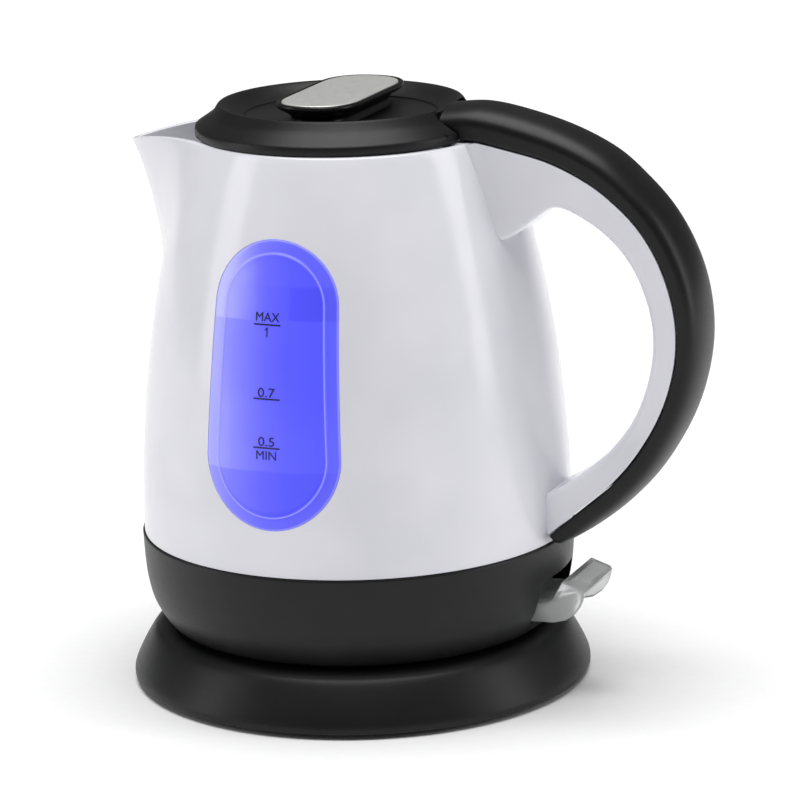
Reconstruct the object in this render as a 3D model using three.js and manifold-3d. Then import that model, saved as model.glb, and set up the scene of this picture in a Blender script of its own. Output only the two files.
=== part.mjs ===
// Cordless electric kettle on a round power base, in millimetres, +Z up.
// The origin is on the kettle's own axis, at the level of the surface that the base stands on.
// The handle points along +X, the spout along -X, and the water window faces -Y.
import * as THREE from "three";
import { mergeVertices } from "three/addons/utils/BufferGeometryUtils.js";
import Module from "manifold-3d";

const wasm = await Module();
wasm.setup();

// ---------- driving dimensions ----------
const gap = 0.3; // clearance between pieces that touch on the real kettle
const roundSegments = 40;
const smallSegments = 16;

const base = {
  radius: 75.5,
  rimZ: 1.8,
  wall: 2.2,
  deckZ: 19.3,
  postRadius: 14.6,
  postTopZ: 30.5,
  hubRadius: 14,
  plateThickness: 2.2,
};
const feet = { count: 4, radius: 5.5, circle: base.radius - 10.5, firstAngle: -80, height: 1.3 };
const screws = { count: 3, headRadius: 3.1, shankRadius: 1.4, headHeight: 1.5, slot: 0.9 };
const baseScrewCircle = 44;
const gland = { angle: 55, width: 9, height: 6, length: 7, bore: 2.6 };

const body = {
  radius: 70.4, // widest outer radius, at widestZ
  widestZ: 50,
  shoulderRadius: 48.364, // outer radius at shoulderZ
  facets: 60,
  seamZ: 50.9,
  shoulderZ: 180.8,
  wall: 2.4,
};
// Vertical half axis of the ellipse that the side follows from the widest level to the shoulder.
const bodyTaper = (body.shoulderZ - body.widestZ) / Math.sqrt(1 - (body.shoulderRadius / body.radius) ** 2);
const band = {
  radius: body.radius + 0.6,
  bottomZ: base.deckZ + 0.4,
  footRadius: body.radius - 9.9,
  ringRadius: body.radius - 15.4,
  wall: 2.2,
  lipRadius: body.radius - 7.4,
  lipTopZ: body.seamZ + 3.1,
};
const lever = {
  halfWidth: 14.6,
  wall: 1.6,
  pivotX: body.radius - 12.4,
  pivotZ: 30,
  pinRadius: 1.2,
  hubRadius: 3,
  lift: 12,
};
const slot = { halfWidth: lever.halfWidth + 1, bottomZ: 24.6, topZ: 39.3 };
const spout = {
  tipRadius: body.radius + 5.6,
  tipZ: body.shoulderZ - 5.4,
  startZ: body.shoulderZ - 72.8,
  curve: 2.1,
  rimRise: 2.5,
  tipRound: 1.2,
};
const windowOpening = {
  x: -1.2,
  halfWidth: 22.9, // at the lower end; the sides lean in to topHalfWidth
  topHalfWidth: 21,
  bottomZ: body.seamZ + 15.3,
  topZ: body.shoulderZ - 24.1,
  border: 3.5,
};
const plate = { thickness: 1.2, radius: body.radius - body.wall - 2.7 };
const board = { halfLength: 16, y0: 7.9 - body.radius, y1: 20.8 - body.radius, bottomZ: 46, thickness: 1.6 };

const mouth = { radius: 40.5, ledge: 3.2 };
const lid = {
  offset: -1.93, // the lid and the mouth sit a little towards the spout
  radius: body.shoulderRadius - 1.264,
  rimTopZ: body.shoulderZ + 3,
  crestRadius: 38.6,
  crestZ: body.shoulderZ + 9.8,
  floorRadius: 31,
  floorZ: body.shoulderZ + 5.5,
  skin: 2,
  plugRadius: mouth.radius - 2.3,
  plugBottomZ: body.shoulderZ - 6.8,
  opens: 55,
};
const seal = { innerRadius: lid.plugRadius - 0.9, outerRadius: mouth.radius - 0.5, height: 1.5 };
const hinge = {
  x: 40.5,
  z: body.shoulderZ + 2.7,
  pinRadius: 1,
  pinHalf: 17.4,
  knuckleRadius: 2,
  knuckleEnd: 18.4,
};
const knob = {
  length: 62,
  width: 27.5,
  x: 0.2,
  topZ: lid.floorZ + 7.6,
  capThickness: 1.7,
  footInset: 3.6,
  waistInset: 4.6,
};

const handle = { halfWidth: 12.5, wall: 2.2, tongueX: 36, notchX: 35 };
// The handle's stations follow the body: out with its radius, and up with the height of its side.
function besideBody([x, z]) {
  const rise = (body.shoulderZ - body.seamZ) / 129.9;
  return [x + body.radius - 70.4, body.seamZ + (z - body.seamZ) * rise];
}
// Stations along the handle: outer crown, parting line between grip and inner half, and inner edge, each as [x, z].
const crownLine = [[36, 191.2], [48, 192], [62.3, 189.4], [77, 184.8], [90, 178.4], [99.3, 170.6], [108.3, 160.8],
  [115.2, 149.2], [119.6, 136.5], [121.2, 122], [119.5, 107.5], [114.5, 92.5], [105.4, 76.9], [95.2, 65.4],
  [84.4, 56.6], [75, 51]].map(besideBody);
const partingLine = [[36, 181.4], [46.5, 181.3], [57.9, 179.2], [72, 175.8], [84, 170.5], [93, 164.4], [101.7, 155.9],
  [108.3, 145.2], [112.5, 132.8], [113.8, 120.8], [112.2, 108.3], [107.6, 95.2], [99.4, 81.6], [90, 71],
  [80.5, 62.9], [70.9, 54.9]].map(besideBody);
const innerLine = [[34, 152], [42, 149], [57, 150], [66.2, 156.2], [73.5, 161], [81.2, 159], [91.5, 152.3],
  [99.1, 143.2], [104, 131.8], [105.8, 120.5], [104.3, 108], [99.5, 95], [92, 84.5], [83.2, 76.6], [73.8, 70],
  [62, 64]].map(besideBody);

const connector = { wall: 2.6, bottomZ: 20.4 };

// ---------- materials ----------
function finish(color, roughness, metalness = 0, extra = {}) {
  return new THREE.MeshStandardMaterial({ color, roughness, metalness, ...extra });
}
const whiteShell = finish(0xe4e4ea, 0.18);
const blackPlastic = finish(0x1c1c1d, 0.45);
const greyPlastic = finish(0x55565a, 0.5);
const clearPlastic = finish(0xe8ecee, 0.08, 0, { transparent: true, opacity: 0.45 });
const bluePlastic = finish(0x6a6cf4, 0.2, 0, { transparent: true, opacity: 0.85 });
const silverPlate = finish(0xc2c2c0, 0.35, 0.9);
const steel = finish(0xb9bcc0, 0.3, 1);
const rubber = finish(0x2b2b2c, 0.85);
const silicone = finish(0xd9d9d4, 0.7);
const copper = finish(0xc98a4b, 0.35, 1);
const greenBoard = finish(0x2c6b45, 0.6);

// ---------- helpers ----------
function solidOf(geometry) {
  const bare = geometry.clone();
  bare.deleteAttribute("normal");
  bare.deleteAttribute("uv");
  const merged = mergeVertices(bare, 1e-4);
  const vertProperties = merged.attributes.position.array;
  const triVerts = new Uint32Array(merged.index.array);
  return new wasm.Manifold(new wasm.Mesh({ numProp: 3, vertProperties, triVerts }));
}

function geometryOf(solid) {
  const data = solid.getMesh();
  const positions = new Float32Array(data.numVert * 3);
  for (let i = 0; i < data.numVert; i++) {
    positions.set(data.vertProperties.subarray(i * data.numProp, i * data.numProp + 3), i * 3);
  }
  const geometry = new THREE.BufferGeometry();
  geometry.setAttribute("position", new THREE.BufferAttribute(positions, 3));
  geometry.setIndex(new THREE.BufferAttribute(new Uint32Array(data.triVerts), 1));
  return geometry;
}

function addPiece(group, name, shape, material) {
  const geometry = shape.getMesh ? geometryOf(shape) : shape;
  const piece = new THREE.Mesh(geometry, material);
  piece.name = name;
  group.add(piece);
  return piece;
}

// A solid of revolution about Z from a closed profile of [radius, z] points that runs anticlockwise.
function turned(profile, segments = roundSegments, x = 0, y = 0) {
  const points = [...profile, profile[0]].map(([r, z]) => new THREE.Vector2(Math.max(r, 0), z));
  const geometry = new THREE.LatheGeometry(points, segments);
  geometry.rotateX(Math.PI / 2);
  geometry.translate(x, y, 0);
  const solid = solidOf(geometry);
  return solid.volume() < 0 ? solidOf(flipped(geometry)) : solid;
}

function flipped(geometry) {
  const copy = geometry.index ? geometry.toNonIndexed() : geometry.clone();
  const p = copy.attributes.position.array;
  for (let i = 0; i < p.length; i += 9) {
    for (let k = 0; k < 3; k++) [p[i + 3 + k], p[i + 6 + k]] = [p[i + 6 + k], p[i + 3 + k]];
  }
  return copy;
}

function disc(radius, z0, z1, x = 0, y = 0, segments = smallSegments) {
  const geometry = new THREE.CylinderGeometry(radius, radius, z1 - z0, segments);
  geometry.rotateX(Math.PI / 2);
  geometry.translate(x, y, (z0 + z1) / 2);
  return solidOf(geometry);
}

function tube(outer, inner, z0, z1, x = 0, y = 0, segments = roundSegments) {
  return turned([[inner, z0], [outer, z0], [outer, z1], [inner, z1]], segments, x, y);
}

function block(x0, x1, y0, y1, z0, z1) {
  const geometry = new THREE.BoxGeometry(x1 - x0, y1 - y0, z1 - z0);
  geometry.translate((x0 + x1) / 2, (y0 + y1) / 2, (z0 + z1) / 2);
  return solidOf(geometry);
}

// A rod along Y.
function rodY(radius, y0, y1, x, z, segments = smallSegments) {
  const geometry = new THREE.CylinderGeometry(radius, radius, y1 - y0, segments);
  geometry.translate(x, (y0 + y1) / 2, z);
  return solidOf(geometry);
}

// An outline of [x, z] points pushed along Y from -halfWidth to +halfWidth.
function slabY(outline, halfWidth) {
  const shape = new THREE.Shape(outline.map(([x, z]) => new THREE.Vector2(x, z)));
  const geometry = new THREE.ExtrudeGeometry(shape, { depth: 2 * halfWidth, bevelEnabled: false });
  geometry.rotateX(Math.PI / 2);
  geometry.translate(0, halfWidth, 0);
  return solidOf(geometry);
}

// A closed skin through rings of equal length, each an array of Vector3, with flat ends.
function loft(rings) {
  const count = rings[0].length;
  const positions = rings.flat().flatMap((v) => [v.x, v.y, v.z]);
  const index = [];
  for (let i = 0; i < rings.length - 1; i++) {
    for (let j = 0; j < count; j++) {
      const a = i * count + j;
      const b = i * count + ((j + 1) % count);
      index.push(a, b, b + count, a, b + count, a + count);
    }
  }
  [0, rings.length - 1].forEach((ringIndex) => {
    const ring = rings[ringIndex];
    const centre = ring.reduce((sum, v) => sum.add(v), new THREE.Vector3()).divideScalar(count);
    const apex = positions.length / 3;
    positions.push(centre.x, centre.y, centre.z);
    for (let j = 0; j < count; j++) {
      const a = ringIndex * count + j;
      const b = ringIndex * count + ((j + 1) % count);
      index.push(...(ringIndex === 0 ? [apex, b, a] : [apex, a, b]));
    }
  });
  const geometry = new THREE.BufferGeometry();
  geometry.setAttribute("position", new THREE.BufferAttribute(new Float32Array(positions), 3));
  geometry.setIndex(index);
  const solid = solidOf(geometry);
  return solid.volume() < 0 ? solidOf(flipped(geometry)) : solid;
}

const radians = THREE.MathUtils.degToRad;
const steps = (count, from, to) => Array.from({ length: count + 1 }, (_, i) => from + ((to - from) * i) / count);
const mix = THREE.MathUtils.lerp;

// ---------- the kettle's outside ----------
function bodyRadiusAt(z) {
  return body.radius * Math.sqrt(1 - ((z - body.widestZ) / bodyTaper) ** 2);
}

// How far the beak's keel stands from the axis: the side's own radius below startZ, out to tipRadius at the tip.
function keelAt(z) {
  const rise = Math.max(0, (z - spout.startZ) / (spout.tipZ - spout.startZ));
  return bodyRadiusAt(z) + (spout.tipRadius - bodyRadiusAt(spout.tipZ)) * rise ** spout.curve;
}

// One level of the body: its circle and the two tangents that run to the keel. inset moves it inwards.
function bodyRing(z, inset) {
  const r = bodyRadiusAt(z) - inset;
  const keel = Math.max(keelAt(z) - inset * 1.3, r + 0.001);
  const tangent = Math.acos(r / keel);
  const count = body.facets;
  return Array.from({ length: count }, (_, i) => {
    const angle = (2 * Math.PI * i) / count;
    const fromKeel = Math.abs(Math.PI - angle);
    const reach = fromKeel < tangent ? r / Math.cos(tangent - fromKeel) : r;
    return new THREE.Vector3(reach * Math.cos(angle), reach * Math.sin(angle), z);
  });
}

// The lip of the beak climbs from the tip to the shoulder.
function rimHeightAt(x) {
  const run = Math.min(1, Math.max(0, (x + spout.tipRadius) / (spout.tipRadius - 32)));
  return spout.tipZ + (body.shoulderZ - spout.tipZ) * (1 - (1 - run) ** spout.rimRise);
}

function aboveRim() {
  const edge = steps(12, -spout.tipRadius - 4, -32).map((x) => [x, rimHeightAt(x)]);
  return slabY([...edge, [-32, 200], [-spout.tipRadius - 4, 200]], 60);
}

function stadiumOnWindow(inset, y0, y1) {
  const low = windowOpening.bottomZ + windowOpening.halfWidth;
  const high = windowOpening.topZ - windowOpening.topHalfWidth;
  const lean = Math.asin((windowOpening.halfWidth - windowOpening.topHalfWidth) / (high - low));
  const shape = new THREE.Shape();
  shape.absarc(0, high, windowOpening.topHalfWidth - inset, lean, Math.PI - lean, false);
  shape.absarc(0, low, windowOpening.halfWidth - inset, Math.PI - lean, 2 * Math.PI + lean, false);
  const geometry = new THREE.ExtrudeGeometry(shape, { depth: y1 - y0, bevelEnabled: false, curveSegments: 14 });
  geometry.rotateX(Math.PI / 2);
  geometry.translate(windowOpening.x, y1, 0);
  return solidOf(geometry);
}

const chamberFloorZ = band.lipTopZ + gap + plate.thickness;

function bodyShell() {
  const bottomZ = body.seamZ + gap;
  const outside = loft(steps(9, bottomZ, body.shoulderZ).map((z) => bodyRing(z, 0)));
  const inside = loft(steps(7, bottomZ - 1, body.shoulderZ + 1).map((z) => bodyRing(z, body.wall)));
  const ledgeBottom = body.shoulderZ - mouth.ledge;
  const ledge = disc(bodyRadiusAt(body.shoulderZ) - 1, ledgeBottom, body.shoulderZ, 0, 0, roundSegments)
    .subtract(disc(mouth.radius, ledgeBottom - 1, body.shoulderZ + 1, lid.offset, 0, roundSegments));
  const steamHole = rodAlongSteamTube(steamTube.radius + gap, 0.6);
  const hingePocket = rodY(hinge.knuckleRadius + 3.4, -hinge.knuckleEnd - 4, hinge.knuckleEnd + 4, hinge.x, hinge.z);
  return outside
    .subtract(inside)
    .add(ledge)
    .subtract(aboveRim())
    .subtract(stadiumOnWindow(0, -90, -40))
    .subtract(hingePocket)
    .subtract(steamHole);
}

function waterWindow() {
  const levels = steps(7, windowOpening.bottomZ - 2, windowOpening.topZ + 2);
  const outer = levels.map((z) => [bodyRadiusAt(z) + 0.1, z]);
  const inner = levels.map((z) => [bodyRadiusAt(z) - body.wall - 0.1, z]).reverse();
  return turned([...outer, ...inner], body.facets).intersect(stadiumOnWindow(gap, -90, -40));
}

// A wedge about Z that opens towards -X.
function spoutWedge(halfAngle, z0, z1) {
  const shape = new THREE.Shape([
    new THREE.Vector2(0, 0),
    new THREE.Vector2(...polar(100, 180 - halfAngle)),
    new THREE.Vector2(-140, 0),
    new THREE.Vector2(...polar(100, 180 + halfAngle)),
  ]);
  const geometry = new THREE.ExtrudeGeometry(shape, { depth: z1 - z0, bevelEnabled: false });
  geometry.translate(0, 0, z0);
  return solidOf(geometry);
}

// The strainer follows the inner wall and closes the way into the beak.
const strainer = {
  bottomZ: 122,
  topZ: body.shoulderZ - mouth.ledge - 1,
  halfAngle: 48,
  border: 7,
  thickness: 1.8,
  meshThickness: 0.8,
};

function strainerWall(thickness) {
  const levels = steps(4, strainer.bottomZ, strainer.topZ);
  const outer = levels.map((z) => [bodyRadiusAt(z) - body.wall - gap - 0.1, z]);
  const inner = levels.map((z) => [bodyRadiusAt(z) - body.wall - gap - thickness, z]).reverse();
  return turned([...outer, ...inner], body.facets);
}

function strainerFrame() {
  const gapAngle = strainer.halfAngle - strainer.border;
  return strainerWall(strainer.thickness)
    .intersect(spoutWedge(strainer.halfAngle, 0, 300))
    .subtract(spoutWedge(gapAngle, strainer.bottomZ + strainer.border, strainer.topZ - strainer.border));
}

function strainerMesh() {
  const gapAngle = strainer.halfAngle - strainer.border - 0.4;
  return strainerWall(strainer.meshThickness)
    .intersect(spoutWedge(gapAngle, strainer.bottomZ + strainer.border + gap, strainer.topZ - strainer.border - gap));
}

// ---------- the black lower housing ----------
function bandProfile() {
  const outside = new THREE.SplineCurve([
    new THREE.Vector2(band.footRadius, band.bottomZ),
    new THREE.Vector2(band.radius - 7.1, band.bottomZ + 1.7),
    new THREE.Vector2(band.radius - 2.9, 28.5),
    new THREE.Vector2(band.radius - 1.1, 35.4),
    new THREE.Vector2(band.radius - 0.4, 42),
    new THREE.Vector2(band.radius, body.seamZ),
  ]).getPoints(7).map((v) => [v.x, v.y]);
  const lipOuter = body.radius - body.wall - gap;
  return [
    [band.ringRadius, band.bottomZ],
    ...outside,
    [lipOuter, body.seamZ],
    [lipOuter, band.lipTopZ],
    [band.lipRadius, band.lipTopZ],
    [band.lipRadius, band.lipTopZ - 2],
    [band.radius - 3.6, body.seamZ - 6],
    [band.radius - 4.2, 32],
    [band.footRadius - 0.5, band.bottomZ + band.wall],
    [band.ringRadius, band.bottomZ + band.wall],
  ];
}

function lowerBand() {
  const slotCut = block(band.ringRadius, band.radius + 9, -slot.halfWidth, slot.halfWidth, slot.bottomZ, slot.topZ);
  return turned(bandProfile(), body.facets).subtract(slotCut);
}

function bottomCover() {
  const top = band.bottomZ + band.wall;
  const bossRadius = screws.shankRadius + gap;
  let cover = tube(band.ringRadius - gap, connectorOuter + gap, band.bottomZ + 0.6, top);
  [-12, 12].forEach((x) => {
    cover = cover.add(disc(1.8, top - 0.5, board.bottomZ - gap, x, board.y1 - 1.6, 12));
  });
  ringAngles(screws.count, 30).forEach((angle) => {
    const [x, y] = polar(bottomScrewCircle, angle);
    cover = cover
      .subtract(disc(bossRadius, 0, 60, x, y))
      .subtract(disc(screws.headRadius + gap, 0, band.bottomZ + 0.6 + 1, x, y));
  });
  return cover;
}

function polar(radius, degrees) {
  return [radius * Math.cos(radians(degrees)), radius * Math.sin(radians(degrees))];
}

function ringAngles(count, first) {
  return Array.from({ length: count }, (_, i) => first + (360 * i) / count);
}

function countersunkScrew(x, y, headBottomZ, length) {
  const head = disc(screws.headRadius, headBottomZ, headBottomZ + screws.headHeight, x, y);
  const shank = disc(screws.shankRadius, headBottomZ, headBottomZ + length, x, y, 12);
  const across = block(x - 3.5, x + 3.5, y - screws.slot / 2, y + screws.slot / 2, headBottomZ - 1, headBottomZ + 0.7);
  const upright = block(x - screws.slot / 2, x + screws.slot / 2, y - 3.5, y + 3.5, headBottomZ - 1, headBottomZ + 0.7);
  return head.add(shank).subtract(across).subtract(upright);
}

// ---------- heating and control ----------
const connectorInner = base.postRadius + gap;
const connectorOuter = connectorInner + connector.wall;
const connectorTopZ = base.postTopZ + gap + connector.wall;
const bottomScrewCircle = 40;
const element = { circle: 44, radius: 3.2, z: band.lipTopZ - 3.2, span: 300 };

const steamTube = { radius: 3.2, bore: 2, foot: [55, 46], head: [44, 166] };

// The steam tube leans with the side of the kettle, from below the heating plate to just under the mouth.
function rodAlongSteamTube(radius, extra) {
  const from = new THREE.Vector3(steamTube.foot[0], 0, steamTube.foot[1]);
  const to = new THREE.Vector3(steamTube.head[0], 0, steamTube.head[1]);
  const along = to.clone().sub(from);
  const geometry = new THREE.CylinderGeometry(radius, radius, along.length() + 2 * extra, smallSegments);
  const turn = new THREE.Quaternion().setFromUnitVectors(new THREE.Vector3(0, 1, 0), along.clone().normalize());
  geometry.applyQuaternion(turn);
  geometry.translate((from.x + to.x) / 2, 0, (from.z + to.z) / 2);
  return solidOf(geometry);
}

function heaterPlate() {
  return disc(plate.radius, band.lipTopZ + gap, chamberFloorZ, 0, 0, roundSegments)
    .subtract(rodAlongSteamTube(steamTube.radius + gap, 1));
}

function heatingElement() {
  const half = radians(element.span / 2);
  const arc = steps(28, -half, half).map((a) => new THREE.Vector3(
    -element.circle * Math.cos(a), element.circle * Math.sin(a), element.z,
  ));
  const path = new THREE.CatmullRomCurve3(arc);
  const section = new THREE.Shape().absarc(0, 0, element.radius, 0, 2 * Math.PI, false);
  const geometry = new THREE.ExtrudeGeometry(section, { steps: 28, curveSegments: 5, extrudePath: path });
  return solidOf(geometry);
}

function kettleConnector() {
  const cup = turned([
    [connectorInner, connector.bottomZ],
    [connectorOuter, connector.bottomZ],
    [connectorOuter, connectorTopZ],
    [0, connectorTopZ],
    [0, connectorTopZ - connector.wall],
    [connectorInner, connectorTopZ - connector.wall],
  ]);
  const pin = disc(1.8, connectorTopZ - connector.wall - 9, connectorTopZ - 1);
  return cup.add(pin);
}

const control = { radius: 27, bottomZ: connectorTopZ + gap, topZ: 44.5 };

function controlBlock() {
  const drum = disc(control.radius, control.bottomZ, control.topZ, 0, 0, 40);
  const arm = block(20, lever.pivotX - 8, -9, 9, control.bottomZ + 1, control.topZ - 1);
  const cheek = lever.halfWidth + gap;
  const yokeHalf = cheek + 2.4;
  const insideBand = Math.sqrt((band.footRadius + 2.95) ** 2 - yokeHalf ** 2);
  const yokeEnd = Math.min(lever.pivotX + 3, insideBand);
  const yoke = block(lever.pivotX - 12, yokeEnd, -yokeHalf, yokeHalf, lever.pivotZ - 3, lever.pivotZ + 5)
    .subtract(block(lever.pivotX - 6, lever.pivotX + 22, -cheek, cheek, 0, 60))
    .add(block(lever.pivotX - 12, lever.pivotX - 7, -9, 9, lever.pivotZ, control.topZ - 1))
    .subtract(rodY(lever.pinRadius + gap, -30, 30, lever.pivotX, lever.pivotZ));
  return drum.add(arm).add(yoke);
}

function bimetalDisc() {
  return disc(9, control.topZ + gap, control.topZ + 1.2, -12, 0, 28);
}

// ---------- lever ----------
const leverPinHalf = lever.halfWidth + gap + 2.2;

function leverSolid() {
  const fromPin = ([x, z]) => [lever.pivotX + x, lever.pivotZ + z];
  const outside = [[1, -4.2], [8, -4.2], [14.4, -4.1], [18.6, -3], [21.6, -0.8], [23.6, 2],
    [24.6, 4.6], [25, 6.6], [24.3, 7.7], [17.6, 10], [16.1, 7.3], [14.2, 3.9], [12, 2.3],
    [8.5, 1.7], [1, 1.7]].map(fromPin);
  const hollow = [[2.6, -6], [2.6, 0.1], [8.8, 0.1], [12.8, 0.7], [15.6, 3], [17.7, 6.6],
    [18.7, 7.9], [23.4, 6.3], [32, 3], [28, -6]].map(fromPin);
  const hub = rodY(lever.hubRadius, -lever.halfWidth, lever.halfWidth, lever.pivotX, lever.pivotZ);
  return slabY(outside, lever.halfWidth)
    .subtract(slabY(hollow, lever.halfWidth - lever.wall))
    .add(hub)
    .subtract(rodY(lever.pinRadius + gap, -20, 20, lever.pivotX, lever.pivotZ));
}

// ---------- handle ----------
function curveOf(points) {
  return new THREE.SplineCurve(points.map(([x, z]) => new THREE.Vector2(x, z)));
}
const crownCurve = curveOf(crownLine);
const partingCurve = curveOf(partingLine);
const innerCurve = curveOf(innerLine);
const station = (index) => index / (partingLine.length - 1);

// The grip's section at one station: upright sides, then an elliptical crown.
function gripRing(t, sideInset, lowest, crownInset) {
  const foot = partingCurve.getPoint(t);
  const crown = crownCurve.getPoint(t);
  const out = crown.clone().sub(foot);
  const height = out.length() - crownInset;
  out.normalize();
  const halfWidth = handle.halfWidth - sideInset;
  const shoulder = 0.45 * height;
  const section = [[-halfWidth, lowest]];
  steps(8, 0, Math.PI).forEach((a) => {
    section.push([-halfWidth * Math.cos(a), shoulder + (height - shoulder) * Math.sin(a)]);
  });
  section.push([halfWidth, lowest]);
  return section.map(([y, s]) => new THREE.Vector3(foot.x + out.x * s, y, foot.y + out.y * s));
}

function handleGrip() {
  const outside = loft(steps(34, 0, 1).map((t) => gripRing(t, 0, gap / 2, 0)));
  const hollow = loft(steps(30, station(0.25), station(14.4)).map((t) => gripRing(t, handle.wall, -2, handle.wall)));
  const overBody = turned([[0, 150], [60, 150], [bodyRadiusAt(body.shoulderZ) + gap, body.shoulderZ + gap],
    [0, body.shoulderZ + gap]]);
  const pinHole = rodY(hinge.pinRadius + gap, -20, 20, hinge.x, hinge.z);
  return outside.subtract(hollow).subtract(overBody).subtract(bodyEnvelope(gap)).subtract(pinHole);
}

// Everything inside the body's side and the band's side, grown by clearance.
function bodyEnvelope(clearance) {
  const side = steps(14, body.seamZ, body.shoulderZ).map((z) => [bodyRadiusAt(z) + clearance, z]);
  const profile = [[0, 40], [band.radius + clearance, 40], [band.radius + clearance, body.seamZ], ...side.slice(1),
    [bodyRadiusAt(body.shoulderZ) + clearance, body.shoulderZ + clearance], [0, body.shoulderZ + clearance]];
  return turned(profile, 72);
}

// The inner half's section: flat sides, rounded inner corners, open towards the grip when hollow is true.
function innerRing(t, sideInset, top, bottomInset) {
  const foot = innerCurve.getPoint(t);
  const parting = partingCurve.getPoint(t);
  const out = parting.clone().sub(foot);
  const height = out.length();
  out.normalize();
  const halfWidth = handle.halfWidth - sideInset;
  const corner = Math.min(2.4, height / 3);
  const section = [[halfWidth, height + top]];
  steps(3, 0, Math.PI / 2).forEach((a) => {
    section.push([halfWidth - corner * (1 - Math.cos(a)), bottomInset + corner * (1 - Math.sin(a))]);
  });
  steps(3, Math.PI / 2, 0).forEach((a) => {
    section.push([-halfWidth + corner * (1 - Math.cos(a)), bottomInset + corner * (1 - Math.sin(a))]);
  });
  section.push([-halfWidth, height + top]);
  return section.map(([y, s]) => new THREE.Vector3(foot.x + out.x * s, y, foot.y + out.y * s));
}

function handleInner() {
  const outside = loft(steps(32, station(1), 1).map((t) => innerRing(t, 0, -gap / 2, 0)));
  const hollow = loft(steps(24, station(3.4), station(13.4)).map((t) => innerRing(t, 2.6, 2, 2.4)));
  return outside.subtract(hollow).subtract(bodyEnvelope(gap)).subtract(disc(60, body.shoulderZ - 1, 200));
}

// ---------- lid ----------
const lidWall = lid.skin;
const knobBottomZ = lid.floorZ - 0.5;
const knobBodyTopZ = knob.topZ - knob.capThickness - gap;
const knobBoreTopZ = knobBodyTopZ - 2;
const knobScrewHeadZ = lid.plugBottomZ + 4.7;

function lidProfile() {
  const slope = [
    [lid.radius, lid.rimTopZ],
    [lid.radius - 4.2, lid.crestZ - 4],
    [lid.crestRadius + 2.4, lid.crestZ - 2.4],
    [lid.crestRadius + 1.2, lid.crestZ - 0.6],
    [lid.crestRadius, lid.crestZ],
  ];
  const dish = [
    [lid.crestRadius - 1.2, lid.crestZ - 0.4],
    [lid.floorRadius + 4, lid.crestZ - 2.4],
    [lid.floorRadius + 1.9, lid.floorZ + 0.5],
    [lid.floorRadius, lid.floorZ],
  ];
  const bottomZ = body.shoulderZ + gap;
  return [
    [0, lid.floorZ - lidWall],
    [lid.floorRadius, lid.floorZ - lidWall],
    [lid.floorRadius + 5, lid.floorZ],
    [lid.crestRadius - 0.2, lid.crestZ - 3],
    [lid.crestRadius + 2, lid.crestZ - 5.2],
    [lid.radius - lidWall, lid.rimTopZ - 1.2],
    [lid.radius - lidWall, bottomZ],
    [lid.radius, bottomZ],
    ...slope,
    ...dish,
    [0, lid.floorZ],
  ];
}

// What the handle's tongue needs as the lid swings: a cylinder about the hinge, open to the back.
const notchRadius = Math.hypot(hinge.x - handle.notchX, lid.crestZ - hinge.z);

function tongueNotch() {
  const half = handle.halfWidth + 1;
  const swing = rodY(notchRadius, -half, half, hinge.x, hinge.z, 48);
  const behind = block(hinge.x, 60, -half, half, hinge.z - 20, hinge.z + 20);
  return swing.add(behind).intersect(block(0, 70, -half, half, body.shoulderZ, hinge.z + 20));
}

function knuckle(side) {
  const near = handle.halfWidth + 1.1;
  const ends = [side * near, side * hinge.knuckleEnd].sort((a, b) => a - b);
  return rodY(hinge.knuckleRadius, ends[0], ends[1], hinge.x, hinge.z);
}

function lidCover() {
  const screwHole = disc(screws.shankRadius + gap, lid.floorZ - 6, lid.floorZ + 3, knob.x, 0);
  const pocket = stadiumPrism(knob.footInset - 2 * gap, knobBottomZ - gap, lid.floorZ + 1);
  return turned(lidProfile(), body.facets, lid.offset)
    .subtract(tongueNotch())
    .add(knuckle(-1))
    .add(knuckle(1))
    .subtract(rodY(hinge.pinRadius + gap, -hinge.pinHalf - gap, hinge.pinHalf + gap, hinge.x, hinge.z))
    .subtract(pocket)
    .subtract(screwHole);
}

function lidLiner() {
  const top = lid.floorZ - lidWall - gap;
  const cup = turned([
    [0, lid.plugBottomZ],
    [lid.plugRadius - 2, lid.plugBottomZ],
    [lid.plugRadius, lid.plugBottomZ + 2],
    [seal.innerRadius - gap, lid.plugBottomZ + 2],
    [seal.innerRadius - gap, lid.plugBottomZ + 2 + seal.height + 2 * gap],
    [lid.plugRadius, lid.plugBottomZ + 2 + seal.height + 2 * gap],
    [lid.plugRadius, top - 4],
    [lid.plugRadius - 8, top],
    [lid.plugRadius - 10, top],
    [lid.plugRadius - 3.2, top - 6],
    [lid.plugRadius - 3.2, lid.plugBottomZ + 2.4],
    [0, lid.plugBottomZ + 2.4],
  ], roundSegments, lid.offset);
  const boss = disc(5, lid.plugBottomZ + 1, top, knob.x, 0);
  const bore = disc(screws.shankRadius + gap, knobScrewHeadZ, top + 5, knob.x, 0);
  const wellTop = knobScrewHeadZ + screws.headHeight + gap;
  const well = disc(screws.headRadius + gap, lid.plugBottomZ - 10, wellTop, knob.x, 0);
  const swing = rodY(6.4, -handle.halfWidth - 1, handle.halfWidth + 1, hinge.x, hinge.z);
  return cup.add(boss).subtract(bore).subtract(well).subtract(swing);
}

function lidSeal() {
  const z0 = lid.plugBottomZ + 2 + gap;
  return tube(seal.outerRadius, seal.innerRadius, z0, z0 + seal.height, lid.offset);
}

function stadiumRing(inset, z, count = 10) {
  const r = knob.width / 2 - inset;
  const reach = (knob.length - knob.width) / 2;
  const far = steps(count, 0, Math.PI).map((a) => new THREE.Vector3(knob.x + r * Math.cos(a), reach + r * Math.sin(a), z));
  const near = steps(count, Math.PI, 2 * Math.PI)
    .map((a) => new THREE.Vector3(knob.x + r * Math.cos(a), -reach + r * Math.sin(a), z));
  return [...far, ...near];
}

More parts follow.
